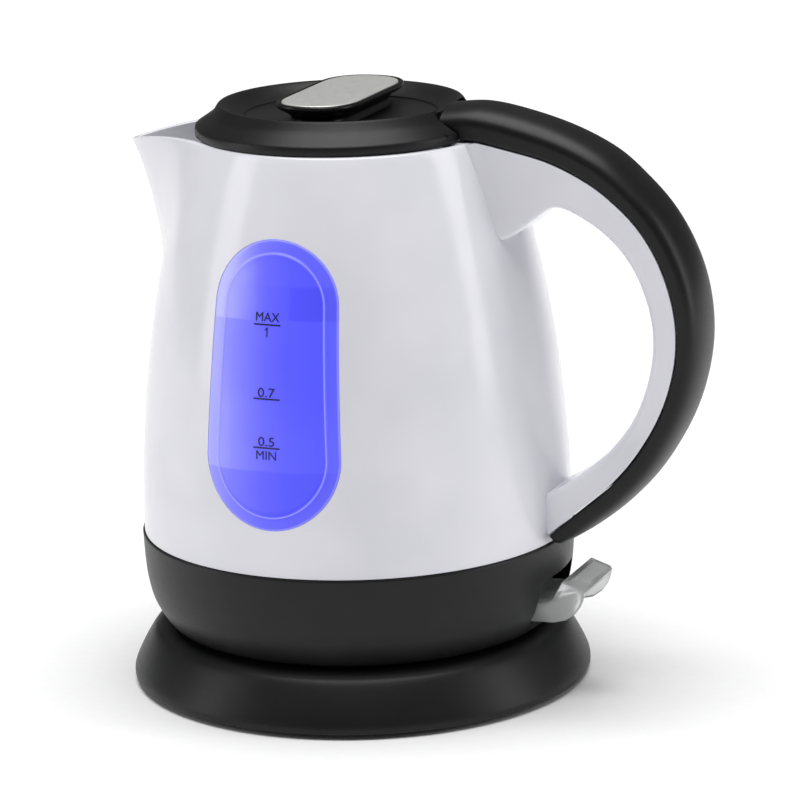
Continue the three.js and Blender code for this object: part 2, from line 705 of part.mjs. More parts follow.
function stadiumPrism(inset, z0, z1) {
  return loft([stadiumRing(inset, z0), stadiumRing(inset, z1)]);
}

function lidKnob() {
  const rings = [
    [knob.footInset, knobBottomZ],
    [knob.footInset + 0.3, mix(knobBottomZ, knobBodyTopZ, 0.2)],
    [knob.waistInset, mix(knobBottomZ, knobBodyTopZ, 0.4)],
    [knob.waistInset - 1.4, mix(knobBottomZ, knobBodyTopZ, 0.7)],
    [0.5, mix(knobBottomZ, knobBodyTopZ, 0.95)],
    [0.2, knobBodyTopZ],
  ];
  const bore = disc(screws.shankRadius + gap, knobBottomZ - 1, knobBoreTopZ, knob.x, 0);
  return loft(rings.map(([inset, z]) => stadiumRing(inset, z))).subtract(bore);
}

function knobPlate() {
  const bottom = knob.topZ - knob.capThickness;
  const rings = [[0.4, bottom], [0, bottom + 0.5], [0.1, knob.topZ - 0.5], [0.8, knob.topZ]];
  return loft(rings.map(([inset, z]) => stadiumRing(inset, z)));
}

// ---------- power base ----------
function baseCover() {
  const skirt = new THREE.SplineCurve([
    new THREE.Vector2(base.radius, 3.4),
    new THREE.Vector2(base.radius - 1.6, base.deckZ - 11.6),
    new THREE.Vector2(base.radius - 5.5, base.deckZ - 4.6),
    new THREE.Vector2(base.radius - 8.5, base.deckZ - 1.4),
    new THREE.Vector2(base.radius - 12, base.deckZ),
  ]).getPoints(5).map((v) => [v.x, v.y]);
  const hole = base.postRadius + 2.4 + gap;
  const inner = skirt.map(([r, z], i) => [r - mix(base.wall, 1, i / 5), z - mix(0, base.wall, i / 5)]).reverse();
  const shell = turned([
    [base.radius, base.rimZ],
    ...skirt,
    [hole, base.deckZ],
    [hole, base.deckZ - base.wall],
    ...inner,
    [base.radius - base.wall, base.rimZ],
  ], body.facets);
  const posts = ringAngles(screws.count, 90).map((angle) => {
    const [x, y] = polar(baseScrewCircle, angle);
    return disc(4, base.rimZ + base.plateThickness + gap, base.deckZ - 1, x, y)
      .subtract(disc(screws.shankRadius + gap, 0, base.deckZ - base.wall - 1, x, y));
  });
  return posts.reduce((sum, post) => sum.add(post), shell).subtract(glandBlock(gap));
}

function glandBlock(clearance) {
  const outer = base.radius + 2;
  const box = block(outer - gland.length - 4, outer, -gland.width / 2 - clearance, gland.width / 2 + clearance,
    base.rimZ - 1, base.rimZ + gland.height + clearance);
  return box.rotate([0, 0, gland.angle]);
}

function cordGland() {
  const inner = base.radius - gland.length;
  const frame = block(inner, base.radius - 0.6, -gland.width / 2, gland.width / 2, base.rimZ + 0.2, base.rimZ + gland.height);
  const bore = new THREE.CylinderGeometry(gland.bore, gland.bore, 40, smallSegments);
  bore.rotateZ(Math.PI / 2);
  bore.translate(base.radius, 0, base.rimZ + 0.1 + gland.height / 2);
  return frame.subtract(solidOf(bore)).rotate([0, 0, gland.angle]);
}

function basePlate() {
  const top = base.rimZ + base.plateThickness;
  let lower = turned([
    [0, 0],
    [base.hubRadius, 0],
    [base.hubRadius + 1.5, base.rimZ - 0.2],
    [base.radius - base.wall - 2 * gap, base.rimZ - 0.2],
    [base.radius - base.wall - 2 * gap, top],
    [0, top],
  ]);
  ringAngles(screws.count, 90).forEach((angle) => {
    const [x, y] = polar(baseScrewCircle, angle);
    lower = lower
      .subtract(disc(screws.shankRadius + gap, -1, 10, x, y))
      .subtract(disc(screws.headRadius + gap, -1, base.rimZ + screws.headHeight - 0.4, x, y));
  });
  return lower.subtract(glandBlock(gap));
}

function baseSocket() {
  const bottom = base.rimZ + base.plateThickness + gap;
  const flange = base.postRadius + 6;
  const collar = base.postRadius + 2.4;
  return turned([
    [2.2, bottom],
    [flange, bottom],
    [flange, bottom + 2],
    [collar, bottom + 2],
    [collar, base.deckZ],
    [base.postRadius, base.deckZ],
    [base.postRadius, base.postTopZ - 1],
    [base.postRadius - 1, base.postTopZ],
    [11.2, base.postTopZ],
    [11.2, base.postTopZ - 4],
    [8.6, base.postTopZ - 4],
    [8.6, base.postTopZ],
    [2.2, base.postTopZ],
  ], 32);
}

// ---------- assembly ----------
const kettle = new THREE.Group();

addPiece(kettle, "base_cover", baseCover(), blackPlastic);
addPiece(kettle, "base_plate", basePlate(), blackPlastic);
addPiece(kettle, "base_socket", baseSocket(), blackPlastic);
addPiece(kettle, "cord_gland", cordGland(), rubber);
ringAngles(feet.count, feet.firstAngle).forEach((angle, i) => {
  const [x, y] = polar(feet.circle, angle);
  addPiece(kettle, `base_foot_${i + 1}`, disc(feet.radius, 0, feet.height, x, y), rubber);
});
ringAngles(screws.count, 90).forEach((angle, i) => {
  const [x, y] = polar(baseScrewCircle, angle);
  addPiece(kettle, `base_screw_${i + 1}`, countersunkScrew(x, y, base.rimZ - 0.5, 11), steel);
});

addPiece(kettle, "body_shell", bodyShell(), whiteShell);
addPiece(kettle, "water_window", waterWindow(), bluePlastic);
addPiece(kettle, "spout_filter_frame", strainerFrame(), whiteShell);
addPiece(kettle, "spout_filter_mesh", strainerMesh(), steel);
addPiece(kettle, "lower_band", lowerBand(), blackPlastic);
addPiece(kettle, "bottom_cover", bottomCover(), blackPlastic);
ringAngles(screws.count, 30).forEach((angle, i) => {
  const [x, y] = polar(bottomScrewCircle, angle);
  addPiece(kettle, `bottom_screw_${i + 1}`, countersunkScrew(x, y, band.bottomZ + 0.3 - 0.2, 8), steel);
});
addPiece(kettle, "kettle_connector", kettleConnector(), greyPlastic);
addPiece(kettle, "control_block", controlBlock(), blackPlastic);
addPiece(kettle, "bimetal_disc", bimetalDisc(), copper);
addPiece(kettle, "heating_element", heatingElement(), steel);
addPiece(kettle, "heater_plate", heaterPlate(), steel);
const sealInner = plate.radius + gap;
const sealOuter = bodyRadiusAt(body.seamZ) - body.wall - gap;
addPiece(kettle, "plate_seal", tube(sealOuter, sealInner, band.lipTopZ + gap, chamberFloorZ + 0.8), silicone);
addPiece(kettle, "steam_tube",
  rodAlongSteamTube(steamTube.radius, 0).subtract(rodAlongSteamTube(steamTube.bore, 2)), greyPlastic);

const boardTopZ = board.bottomZ + board.thickness;
addPiece(kettle, "led_board",
  block(-board.halfLength, board.halfLength, board.y0, board.y1, board.bottomZ, boardTopZ), greenBoard);
[-9, 9].forEach((x, i) => {
  addPiece(kettle, `led_${i + 1}`, disc(2.4, boardTopZ + gap, boardTopZ + 4.4, x, board.y0 + 4.5), clearPlastic);
});

addPiece(kettle, "handle_inner", handleInner(), whiteShell);
addPiece(kettle, "handle_grip", handleGrip(), blackPlastic);

addPiece(kettle, "switch_lever", leverSolid(), clearPlastic);
addPiece(kettle, "lever_pin", rodY(lever.pinRadius, -leverPinHalf, leverPinHalf, lever.pivotX, lever.pivotZ), steel);

addPiece(kettle, "lid_cover", lidCover(), blackPlastic);
addPiece(kettle, "lid_liner", lidLiner(), whiteShell);
addPiece(kettle, "lid_seal", lidSeal(), silicone);
addPiece(kettle, "lid_knob", lidKnob(), blackPlastic);
addPiece(kettle, "knob_plate", knobPlate(), silverPlate);
addPiece(kettle, "knob_screw", countersunkScrew(knob.x, 0, knobScrewHeadZ, knobBoreTopZ - gap - knobScrewHeadZ), steel);
addPiece(kettle, "hinge_pin", rodY(hinge.pinRadius, -hinge.pinHalf, hinge.pinHalf, hinge.x, hinge.z, 16), steel);

export default kettle;
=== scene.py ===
import math
import bpy
import bmesh
from mathutils import Matrix, Vector


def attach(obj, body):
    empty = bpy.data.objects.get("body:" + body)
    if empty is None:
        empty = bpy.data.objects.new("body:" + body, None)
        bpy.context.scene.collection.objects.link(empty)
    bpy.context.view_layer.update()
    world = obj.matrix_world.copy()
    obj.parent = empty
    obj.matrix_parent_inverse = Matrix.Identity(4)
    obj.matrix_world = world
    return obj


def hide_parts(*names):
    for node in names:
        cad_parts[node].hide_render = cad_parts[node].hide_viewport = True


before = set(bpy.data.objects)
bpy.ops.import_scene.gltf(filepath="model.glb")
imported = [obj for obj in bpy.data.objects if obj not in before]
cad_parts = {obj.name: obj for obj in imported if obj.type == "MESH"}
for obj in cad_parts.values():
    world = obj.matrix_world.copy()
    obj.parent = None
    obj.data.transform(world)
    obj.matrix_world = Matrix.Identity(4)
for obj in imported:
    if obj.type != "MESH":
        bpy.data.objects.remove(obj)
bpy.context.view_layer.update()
mm = 0.001


def toLinear(hexColour, alpha=1.0):
    hexColour = hexColour.lstrip("#")
    parts = [int(hexColour[i:i + 2], 16) / 255 for i in (0, 2, 4)]
    linear = [c / 12.92 if c <= 0.04045 else ((c + 0.055) / 1.055) ** 2.4 for c in parts]
    return (*linear, alpha)


def addNode(tree, kind, settings=None, links=None):
    # settings are node properties, socket values by name or number, or the stops of a colour ramp
    node = tree.nodes.new(kind)
    for key, value in (settings or {}).items():
        if key == "stops":
            ends = node.color_ramp.elements
            ends[0].position, ends[0].color = value[0][0], toLinear(value[0][1])
            ends[1].position, ends[1].color = value[-1][0], toLinear(value[-1][1])
            for position, colour in value[1:-1]:
                ends.new(position).color = toLinear(colour)
        elif isinstance(key, str) and hasattr(node, key):
            setattr(node, key, value)
        else:
            node.inputs[key].default_value = value
    for key, source in (links or {}).items():
        tree.links.new(source, node.inputs[key])
    return node


def perMm(size):
    return 1 / (size * mm)  # a texture scale whose cells are size millimetres across


def newMaterial(name):
    material = bpy.data.materials.new(name)
    material.use_nodes = True
    tree = material.node_tree
    tree.nodes.clear()
    place = addNode(tree, "ShaderNodeTexCoord")
    return material, tree, place.outputs["Object"]


# Polypropylene moulded in a polished tool: an even, cool white with a clear gloss over faint flow clouds.
def glossyWhitePolypropylene(name="glossyWhitePolypropylene", pale="#E9E9EF", deep="#E1E1E8", roughness=0.17):
    material, tree, place = newMaterial(name)
    clouds = addNode(tree, "ShaderNodeTexNoise", {"Scale": perMm(38), "Detail": 2.0}, {"Vector": place})
    tint = addNode(tree, "ShaderNodeValToRGB", {"stops": [(0.35, deep), (0.65, pale)]}, {"Fac": clouds.outputs["Fac"]})
    haze = addNode(tree, "ShaderNodeTexNoise", {"Scale": perMm(9), "Detail": 3.0}, {"Vector": place})
    gloss = addNode(tree, "ShaderNodeMapRange", {"From Min": 0.3, "From Max": 0.7, "To Min": roughness - 0.03,
                                                 "To Max": roughness + 0.05}, {"Value": haze.outputs["Fac"]})
    # the wave that shrinkage leaves in a moulded wall is about 7 mm long and a few microns deep
    wave = addNode(tree, "ShaderNodeTexNoise", {"Scale": perMm(7), "Detail": 1.0}, {"Vector": place})
    bump = addNode(tree, "ShaderNodeBump", {"Strength": 0.2, "Distance": 0.02 * mm}, {"Height": wave.outputs["Fac"]})
    shader = addNode(tree, "ShaderNodeBsdfPrincipled", {"IOR": 1.49},
                     {"Base Color": tint.outputs["Color"], "Roughness": gloss.outputs["Result"],
                      "Normal": bump.outputs["Normal"]})
    addNode(tree, "ShaderNodeOutputMaterial", links={"Surface": shader.outputs["BSDF"]})
    return material


# Polypropylene moulded in a spark-eroded tool: black, with a fine grain that spreads each highlight.
def satinBlackPolypropylene(name="satinBlackPolypropylene", deep="#0E0E10", pale="#161618", roughness=0.4,
                            grainMm=0.45):
    material, tree, place = newMaterial(name)
    clouds = addNode(tree, "ShaderNodeTexNoise", {"Scale": perMm(24), "Detail": 3.0}, {"Vector": place})
    tint = addNode(tree, "ShaderNodeValToRGB", {"stops": [(0.35, deep), (0.7, pale)]}, {"Fac": clouds.outputs["Fac"]})
    # real grain is 0.1 mm across, drawn coarser so that it shows
    grain = addNode(tree, "ShaderNodeTexNoise", {"Scale": perMm(grainMm), "Detail": 2.0, "Roughness": 0.6},
                    {"Vector": place})
    gloss = addNode(tree, "ShaderNodeMapRange", {"From Min": 0.3, "From Max": 0.7, "To Min": roughness - 0.05,
                                                 "To Max": roughness + 0.07}, {"Value": grain.outputs["Fac"]})
    bump = addNode(tree, "ShaderNodeBump", {"Strength": 0.35, "Distance": 0.02 * mm}, {"Height": grain.outputs["Fac"]})
    shader = addNode(tree, "ShaderNodeBsdfPrincipled", {"IOR": 1.49, "Specular IOR Level": 0.3},
                     {"Base Color": tint.outputs["Color"], "Roughness": gloss.outputs["Result"],
                      "Normal": bump.outputs["Normal"]})
    addNode(tree, "ShaderNodeOutputMaterial", links={"Surface": shader.outputs["BSDF"]})
    return material


# The window is a wide half circle below and a narrower one above, joined by leaning sides; z is of their centres.
# waterZ, chamberZ and heaterZ place the painted shade bands, climb tilts them, waver ripples the painted glow, and
# border sets the width of the painted rim, border and ridge highlights
window = {"x": -1.2, "halfWidth": 22.9, "topHalfWidth": 21, "lowZ": 89.1, "highZ": 135.7, "gap": 0.06, "depth": 2.4,
          "edge": 0.5, "lip": 0.12, "face": 0.05, "ridgeInset": 4.3, "ridgeHalf": 0.55, "ridgeHeight": 0.4,
          "waterZ": 132.4, "chamberZ": 142.6, "heaterZ": 85.4, "climb": 0.0175, "waver": 4, "border": 8}


# Tinted polypropylene with a painted glow for the light from inside: saturated blue-violet, with painted paler light
# where the wall turns away on the spout side.
def tintedWindowPaintedGlow():
    material, tree, place = newMaterial("tintedWindowPaintedGlow")
    w = window
    axes = addNode(tree, "ShaderNodeSeparateXYZ", links={"Vector": place})
    # the edges of the painted glow and shade waver by a few millimetres over 14 mm
    waver = addNode(tree, "ShaderNodeTexNoise", {"Scale": perMm(14), "Detail": 2.0}, {"Vector": place})
    across = addNode(tree, "ShaderNodeMath", {"operation": "MULTIPLY_ADD", 1: w["waver"] * mm},
                     {0: waver.outputs["Fac"], 2: axes.outputs["X"]})
    along = addNode(tree, "ShaderNodeMapRange", {"From Min": -22.5 * mm, "From Max": 24 * mm},
                    {"Value": across.outputs[0]})
    glow = addNode(tree, "ShaderNodeValToRGB", {"stops": [
        (0.0, "#9C9CEE"), (0.1, "#9393F2"), (0.22, "#7F7FF6"), (0.45, "#6363FA"), (0.62, "#5759FB"),
        (1.0, "#4F52F0")]}, {"Fac": along.outputs["Result"]})
    # painted shade for the far wall's water line and the heater seen through the window: darker bands that climb a
    # little to the right, and the upper band darkens towards the right
    level = addNode(tree, "ShaderNodeMath", {"operation": "MULTIPLY_ADD", 1: -w["climb"]},
                    {0: axes.outputs["X"], 2: axes.outputs["Z"]})
    height = addNode(tree, "ShaderNodeMath", {"operation": "MULTIPLY_ADD", 1: 1.2 * mm},
                     {0: waver.outputs["Fac"], 2: level.outputs[0]})
    above = addNode(tree, "ShaderNodeMapRange", {"From Min": w["waterZ"] * mm, "From Max": (w["waterZ"] + 0.5) * mm},
                    {"Value": height.outputs[0]})
    below = addNode(tree, "ShaderNodeMapRange", {"From Min": w["chamberZ"] * mm, "From Max": (w["chamberZ"] + 1) * mm,
                                                  "To Min": 1.0, "To Max": 0.0}, {"Value": height.outputs[0]})
    band = addNode(tree, "ShaderNodeMath", {"operation": "MULTIPLY"}, {0: above.outputs[0], 1: below.outputs[0]})
    right = addNode(tree, "ShaderNodeValToRGB", {"stops": [
        (0.0, "#000000"), (0.25, "#2B2B2B"), (0.6, "#5C5C5C"), (0.63, "#9A9A9A"), (1.0, "#B4B4B4")]},
        {"Fac": along.outputs["Result"]})
    upper = addNode(tree, "ShaderNodeMath", {"operation": "MULTIPLY"},
                    {0: band.outputs[0], 1: right.outputs["Color"]})
    lower = addNode(tree, "ShaderNodeMapRange", {"From Min": w["heaterZ"] * mm, "From Max": (w["heaterZ"] + 0.6) * mm,
                                                  "To Min": 0.3, "To Max": 0.0}, {"Value": height.outputs[0]})
    shade = addNode(tree, "ShaderNodeMath", {"operation": "MAXIMUM"}, {0: upper.outputs[0], 1: lower.outputs[0]})
    darker = addNode(tree, "ShaderNodeMix", {"data_type": "RGBA", 7: toLinear("#3A3CC8")},
                     {"Factor": shade.outputs[0], 6: glow.outputs["Color"]})
    # painted light: above the water line the spout side is lightened to stand for the pale chamber behind it
    left = addNode(tree, "ShaderNodeMapRange", {"From Min": 0.38, "From Max": 0.1, "To Min": 0.0, "To Max": 0.6},
                   {"Value": along.outputs["Result"]})
    empty = addNode(tree, "ShaderNodeMath", {"operation": "MULTIPLY"}, {0: above.outputs[0], 1: left.outputs[0]})
    hollow = addNode(tree, "ShaderNodeMix", {"data_type": "RGBA", 7: toLinear("#B4B4E6")},
                     {"Factor": empty.outputs[0], 6: darker.outputs[2]})
    # how far a point is in from the window's edge, for the painted highlights of the bright rim and the ridge, and a
    # painted paler border; the ridge is also modelled
    half = addNode(tree, "ShaderNodeMapRange", {"From Min": w["lowZ"] * mm, "From Max": w["highZ"] * mm,
                                                "To Min": w["halfWidth"] * mm, "To Max": w["topHalfWidth"] * mm},
                   {"Value": axes.outputs["Z"]})
    offLow = addNode(tree, "ShaderNodeMath", {"operation": "SUBTRACT", 0: w["lowZ"] * mm}, {1: axes.outputs["Z"]})
    offHigh = addNode(tree, "ShaderNodeMath", {"operation": "SUBTRACT", 1: w["highZ"] * mm}, {0: axes.outputs["Z"]})
    offEnd = addNode(tree, "ShaderNodeMath", {"operation": "MAXIMUM"},
                     {0: offLow.outputs[0], 1: offHigh.outputs[0]})
    offLine = addNode(tree, "ShaderNodeMath", {"operation": "MAXIMUM", 1: 0.0}, {0: offEnd.outputs[0]})
    offSide = addNode(tree, "ShaderNodeMath", {"operation": "ADD", 1: -w["x"] * mm}, {0: axes.outputs["X"]})
    spread = addNode(tree, "ShaderNodeCombineXYZ", links={"X": offSide.outputs[0], "Y": offLine.outputs[0]})
    reach = addNode(tree, "ShaderNodeVectorMath", {"operation": "LENGTH"}, {0: spread.outputs[0]})
    inward = addNode(tree, "ShaderNodeMath", {"operation": "SUBTRACT"},
                     {0: half.outputs[0], 1: reach.outputs["Value"]})
    fromEdge = addNode(tree, "ShaderNodeMapRange", {"From Min": 0.0, "From Max": w["border"] * mm},
                       {"Value": inward.outputs[0]})
    pale = addNode(tree, "ShaderNodeValToRGB", {"stops": [
        (0.0, "#C8C8C8"), (0.05, "#B0B0B0"), (0.1, "#505050"), (0.49, "#484848"), (0.52, "#BCBCBC"),
        (0.55, "#BCBCBC"), (0.58, "#000000"), (1.0, "#000000")]}, {"Fac": fromEdge.outputs["Result"]})
    tint = addNode(tree, "ShaderNodeMix", {"data_type": "RGBA", 7: toLinear("#A8A8FF")},
                   {"Factor": pale.outputs["Color"], 6: hollow.outputs[2]})
    bump = addNode(tree, "ShaderNodeBump", {"Strength": 0.2, "Distance": 0.03 * mm}, {"Height": waver.outputs["Fac"]})
    # the emission is a painted glow; the window itself is no lamp
    shader = addNode(tree, "ShaderNodeBsdfPrincipled", {"Roughness": 0.17, "IOR": 1.49, "Specular IOR Level": 0.3,
                                                        "Emission Strength": 0.36},
                     {"Base Color": tint.outputs[2], "Emission Color": tint.outputs[2],
                      "Normal": bump.outputs["Normal"]})
    addNode(tree, "ShaderNodeOutputMaterial", links={"Surface": shader.outputs["BSDF"]})
    return material


# Clear polycarbonate from a polished tool: seen by its bright edges and by the grey that it bends into view.
def clearPolycarbonate(name="clearPolycarbonate", tint="#F6F7F7", transmission=0.7):
    material, tree, place = newMaterial(name)
    clouds = addNode(tree, "ShaderNodeTexNoise", {"Scale": perMm(12), "Detail": 2.0}, {"Vector": place})
    colour = addNode(tree, "ShaderNodeValToRGB", {"stops": [(0.3, "#ECEDED"), (0.7, tint)]},
                     {"Fac": clouds.outputs["Fac"]})
    haze = addNode(tree, "ShaderNodeTexNoise", {"Scale": perMm(5), "Detail": 2.0}, {"Vector": place})
    gloss = addNode(tree, "ShaderNodeMapRange", {"From Min": 0.3, "From Max": 0.7, "To Min": 0.04, "To Max": 0.12},
                    {"Value": haze.outputs["Fac"]})
    wave = addNode(tree, "ShaderNodeTexNoise", {"Scale": perMm(4), "Detail": 1.0}, {"Vector": place})
    bump = addNode(tree, "ShaderNodeBump", {"Strength": 0.3, "Distance": 0.05 * mm}, {"Height": wave.outputs["Fac"]})
    shader = addNode(tree, "ShaderNodeBsdfPrincipled", {"IOR": 1.585, "Transmission Weight": transmission},
                     {"Base Color": colour.outputs["Color"], "Roughness": gloss.outputs["Result"],
                      "Normal": bump.outputs["Normal"]})
    addNode(tree, "ShaderNodeOutputMaterial", links={"Surface": shader.outputs["BSDF"]})
    return material


# ABS with a vacuum-deposited metal layer under satin lacquer: soft silver, with a faint grain along its length.
def satinMetallisedAbs():
    material, tree, place = newMaterial("satinMetallisedAbs")
    stretched = addNode(tree, "ShaderNodeMapping", {"Scale": (1.0, 0.06, 1.0)}, {"Vector": place})
    # real brushing is 0.1 mm apart, drawn coarser so that it shows
    lines = addNode(tree, "ShaderNodeTexNoise", {"Scale": perMm(0.35), "Detail": 2.0, "Roughness": 0.6},
                    {"Vector": stretched.outputs["Vector"]})
    colour = addNode(tree, "ShaderNodeValToRGB", {"stops": [(0.2, "#CBCBC8"), (0.8, "#D6D6D3")]},
                     {"Fac": lines.outputs["Fac"]})
    gloss = addNode(tree, "ShaderNodeMapRange", {"From Min": 0.3, "From Max": 0.7, "To Min": 0.3, "To Max": 0.42},
                    {"Value": lines.outputs["Fac"]})
    bump = addNode(tree, "ShaderNodeBump", {"Strength": 0.3, "Distance": 0.01 * mm}, {"Height": lines.outputs["Fac"]})
    shader = addNode(tree, "ShaderNodeBsdfPrincipled", {"Metallic": 0.45},
                     {"Base Color": colour.outputs["Color"], "Roughness": gloss.outputs["Result"],
                      "Normal": bump.outputs["Normal"]})
    addNode(tree, "ShaderNodeOutputMaterial", links={"Surface": shader.outputs["BSDF"]})
    return material


# Rolled stainless steel, or another rolled metal: neutral, with short rolling lines along X.
def rolledMetal(name="rolledStainlessSteel", pale="#C9CBCD", deep="#A9ACAF", roughness=0.28):
    material, tree, place = newMaterial(name)
    stretched = addNode(tree, "ShaderNodeMapping", {"Scale": (0.08, 1.0, 1.0)}, {"Vector": place})
    # rolling lines are 0.05 mm apart, drawn coarser so that they show
    lines = addNode(tree, "ShaderNodeTexNoise", {"Scale": perMm(0.4), "Detail": 3.0, "Roughness": 0.6},
                    {"Vector": stretched.outputs["Vector"]})
    colour = addNode(tree, "ShaderNodeValToRGB", {"stops": [(0.3, deep), (0.7, pale)]}, {"Fac": lines.outputs["Fac"]})
    gloss = addNode(tree, "ShaderNodeMapRange", {"From Min": 0.3, "From Max": 0.7, "To Min": roughness - 0.06,
                                                 "To Max": roughness + 0.1}, {"Value": lines.outputs["Fac"]})
    shader = addNode(tree, "ShaderNodeBsdfPrincipled", {"Metallic": 1.0},
                     {"Base Color": colour.outputs["Color"], "Roughness": gloss.outputs["Result"]})
    addNode(tree, "ShaderNodeOutputMaterial", links={"Surface": shader.outputs["BSDF"]})
    return material


# Moulded rubber, silicone or solder mask: dull and even, with dust-fine pits.
def dullMoulding(name="mouldedNitrileRubber", pale="#2E2E30", deep="#222223", roughness=0.8):
    material, tree, place = newMaterial(name)
    pits = addNode(tree, "ShaderNodeTexNoise", {"Scale": perMm(0.6), "Detail": 3.0, "Roughness": 0.6},
                   {"Vector": place})
    colour = addNode(tree, "ShaderNodeValToRGB", {"stops": [(0.3, deep), (0.7, pale)]}, {"Fac": pits.outputs["Fac"]})
    gloss = addNode(tree, "ShaderNodeMapRange", {"From Min": 0.3, "From Max": 0.7, "To Min": roughness - 0.08,
                                                 "To Max": roughness + 0.06}, {"Value": pits.outputs["Fac"]})
    bump = addNode(tree, "ShaderNodeBump", {"Strength": 0.4, "Distance": 0.03 * mm}, {"Height": pits.outputs["Fac"]})
    shader = addNode(tree, "ShaderNodeBsdfPrincipled", {"IOR": 1.5},
                     {"Base Color": colour.outputs["Color"], "Roughness": gloss.outputs["Result"],
                      "Normal": bump.outputs["Normal"]})
    addNode(tree, "ShaderNodeOutputMaterial", links={"Surface": shader.outputs["BSDF"]})
    return material


# Pad-printed ink: flat navy with slightly uneven cover.
def padPrintedInk():
    material, tree, place = newMaterial("padPrintedInk")
    cover = addNode(tree, "ShaderNodeTexNoise", {"Scale": perMm(0.5), "Detail": 2.0}, {"Vector": place})
    colour = addNode(tree, "ShaderNodeValToRGB", {"stops": [(0.3, "#10102E"), (0.7, "#191944")]},
                     {"Fac": cover.outputs["Fac"]})
    gloss = addNode(tree, "ShaderNodeMapRange", {"From Min": 0.3, "From Max": 0.7, "To Min": 0.35, "To Max": 0.5},
                    {"Value": cover.outputs["Fac"]})
    shader = addNode(tree, "ShaderNodeBsdfPrincipled", {"IOR": 1.5},
                     {"Base Color": colour.outputs["Color"], "Roughness": gloss.outputs["Result"]})
    addNode(tree, "ShaderNodeOutputMaterial", links={"Surface": shader.outputs["BSDF"]})
    return material


white = glossyWhitePolypropylene()
liner = glossyWhitePolypropylene("linerPolypropylene", "#DCDCE1", "#D2D2D8", 0.3)
black = satinBlackPolypropylene()
gripBlack = satinBlackPolypropylene("gripBlackPolypropylene", "#0E0E10", "#151517", 0.38)
knobBlack = satinBlackPolypropylene("knobBlackPolypropylene", "#0A0A0B", "#101011", 0.3)
innerBlack = satinBlackPolypropylene("innerBlackPolyamide", "#151516", "#1D1D1F", 0.55, 0.8)
greyNylon = satinBlackPolypropylene("greyGlassFilledNylon", "#4C4D50", "#5C5D60", 0.5, 0.8)
windowBlue = tintedWindowPaintedGlow()
clear = clearPolycarbonate()
lens = clearPolycarbonate("clearEpoxyLens", "#F4F4FF", 0.7)
silver = satinMetallisedAbs()
steel = rolledMetal()
copper = rolledMetal("rolledCopperBimetal", "#D19A62", "#B27A45", 0.32)
rubber = dullMoulding()
silicone = dullMoulding("mouldedSilicone", "#DADAD6", "#CFCFCB", 0.6)
board = dullMoulding("solderMaskBoard", "#2F6F49", "#255C3C", 0.42)
ink = padPrintedInk()
print("materials ready")


# The shape helpers take every size in millimetres.
def lerp(a, b, t):
    return a + (b - a) * t


def steps(count, start, end):
    return [start + (end - start) * i / count for i in range(count + 1)]


def catmull(points, t):
    # t runs 0..1 evenly over the points, as a uniform spline through them all
    spans = len(points) - 1
    where = min(max(t, 0.0), 1.0) * spans
    i = min(int(where), spans - 1)
    f = where - i
    p1, p2 = points[i], points[i + 1]
    p0 = points[i - 1] if i > 0 else p1
    p3 = points[i + 2] if i + 2 < len(points) else p2
    out = []
    for a, b, c, d in zip(p0, p1, p2, p3):
        v0, v1 = (c - a) * 0.5, (d - b) * 0.5
        out.append((2 * b - 2 * c + v0 + v1) * f ** 3 + (-3 * b + 3 * c - 2 * v0 - v1) * f ** 2 + v0 * f + b)
    return out


def smoothLine(points, count):
    return [catmull(points, t) for t in steps(count, 0, 1)]


def makeMesh(name, points, faces, material, sharpDegrees=32):
    mesh = bpy.data.meshes.new(name)
    mesh.from_pydata([(x * mm, y * mm, z * mm) for x, y, z in points], [], faces)
    shape = bmesh.new()
    shape.from_mesh(mesh)
    bmesh.ops.remove_doubles(shape, verts=shape.verts, dist=0.0005 * mm)
    bmesh.ops.dissolve_degenerate(shape, edges=shape.edges, dist=0.0005 * mm)
    bmesh.ops.recalc_face_normals(shape, faces=shape.faces)
    shape.to_mesh(mesh)
    shape.free()
    piece = bpy.data.objects.new(name, mesh)
    bpy.context.collection.objects.link(piece)
    if material:
        mesh.materials.append(material)
    shadeSmooth(piece, sharpDegrees)
    return piece


def shadeSmooth(piece, sharpDegrees=32):
    mesh = piece.data
    mesh.polygons.foreach_set("use_smooth", [True] * len(mesh.polygons))
    mesh.set_sharp_from_angle(angle=math.radians(sharpDegrees))


def loft(name, rings, material, closed=False, sharpDegrees=32, capped=True):
    # rings of equal length; closed joins the last ring to the first, otherwise flat caps end it if it is capped
    count = len(rings[0])
    points = [p for ring in rings for p in ring]
    faces = []
    spans = len(rings) if closed else len(rings) - 1
    for i in range(spans):
        k = (i + 1) % len(rings)
        for j in range(count):
            n = (j + 1) % count
            faces.append((i * count + j, i * count + n, k * count + n, k * count + j))
    if capped and not closed:
        faces.append(tuple(range(count)))
        faces.append(tuple((len(rings) - 1) * count + j for j in range(count)))
    return makeMesh(name, points, faces, material, sharpDegrees)


def turned(name, profile, material, count=160, x=0, sharpDegrees=32):
    # profile of (radius, z), joined end to start; points on the axis merge into one
    rings = []
    for r, z in profile:
        rings.append([(x + r * math.cos(2 * math.pi * i / count), r * math.sin(2 * math.pi * i / count), z)
                      for i in range(count)])
    return loft(name, rings, material, True, sharpDegrees)


def boxShape(name, low, high):
    x0, y0, z0 = low
    x1, y1, z1 = high
    points = [(x, y, z) for z in (z0, z1) for x, y in ((x0, y0), (x1, y0), (x1, y1), (x0, y1))]
    faces = [(0, 1, 2, 3), (4, 5, 6, 7), (0, 1, 5, 4), (1, 2, 6, 5), (2, 3, 7, 6), (3, 0, 4, 7)]
    return makeMesh(name, points, faces, None)


def rodY(name, radius, y0, y1, x, z, material=None, count=64):
    rings = [[(x + radius * math.cos(2 * math.pi * i / count), y, z + radius * math.sin(2 * math.pi * i / count))
              for i in range(count)] for y in (y0, y1)]
    return loft(name, rings, material)


def slabY(name, outline, y0, y1, material=None):
    return loft(name, [[(x, y, z) for x, z in outline] for y in (y0, y1)], material)


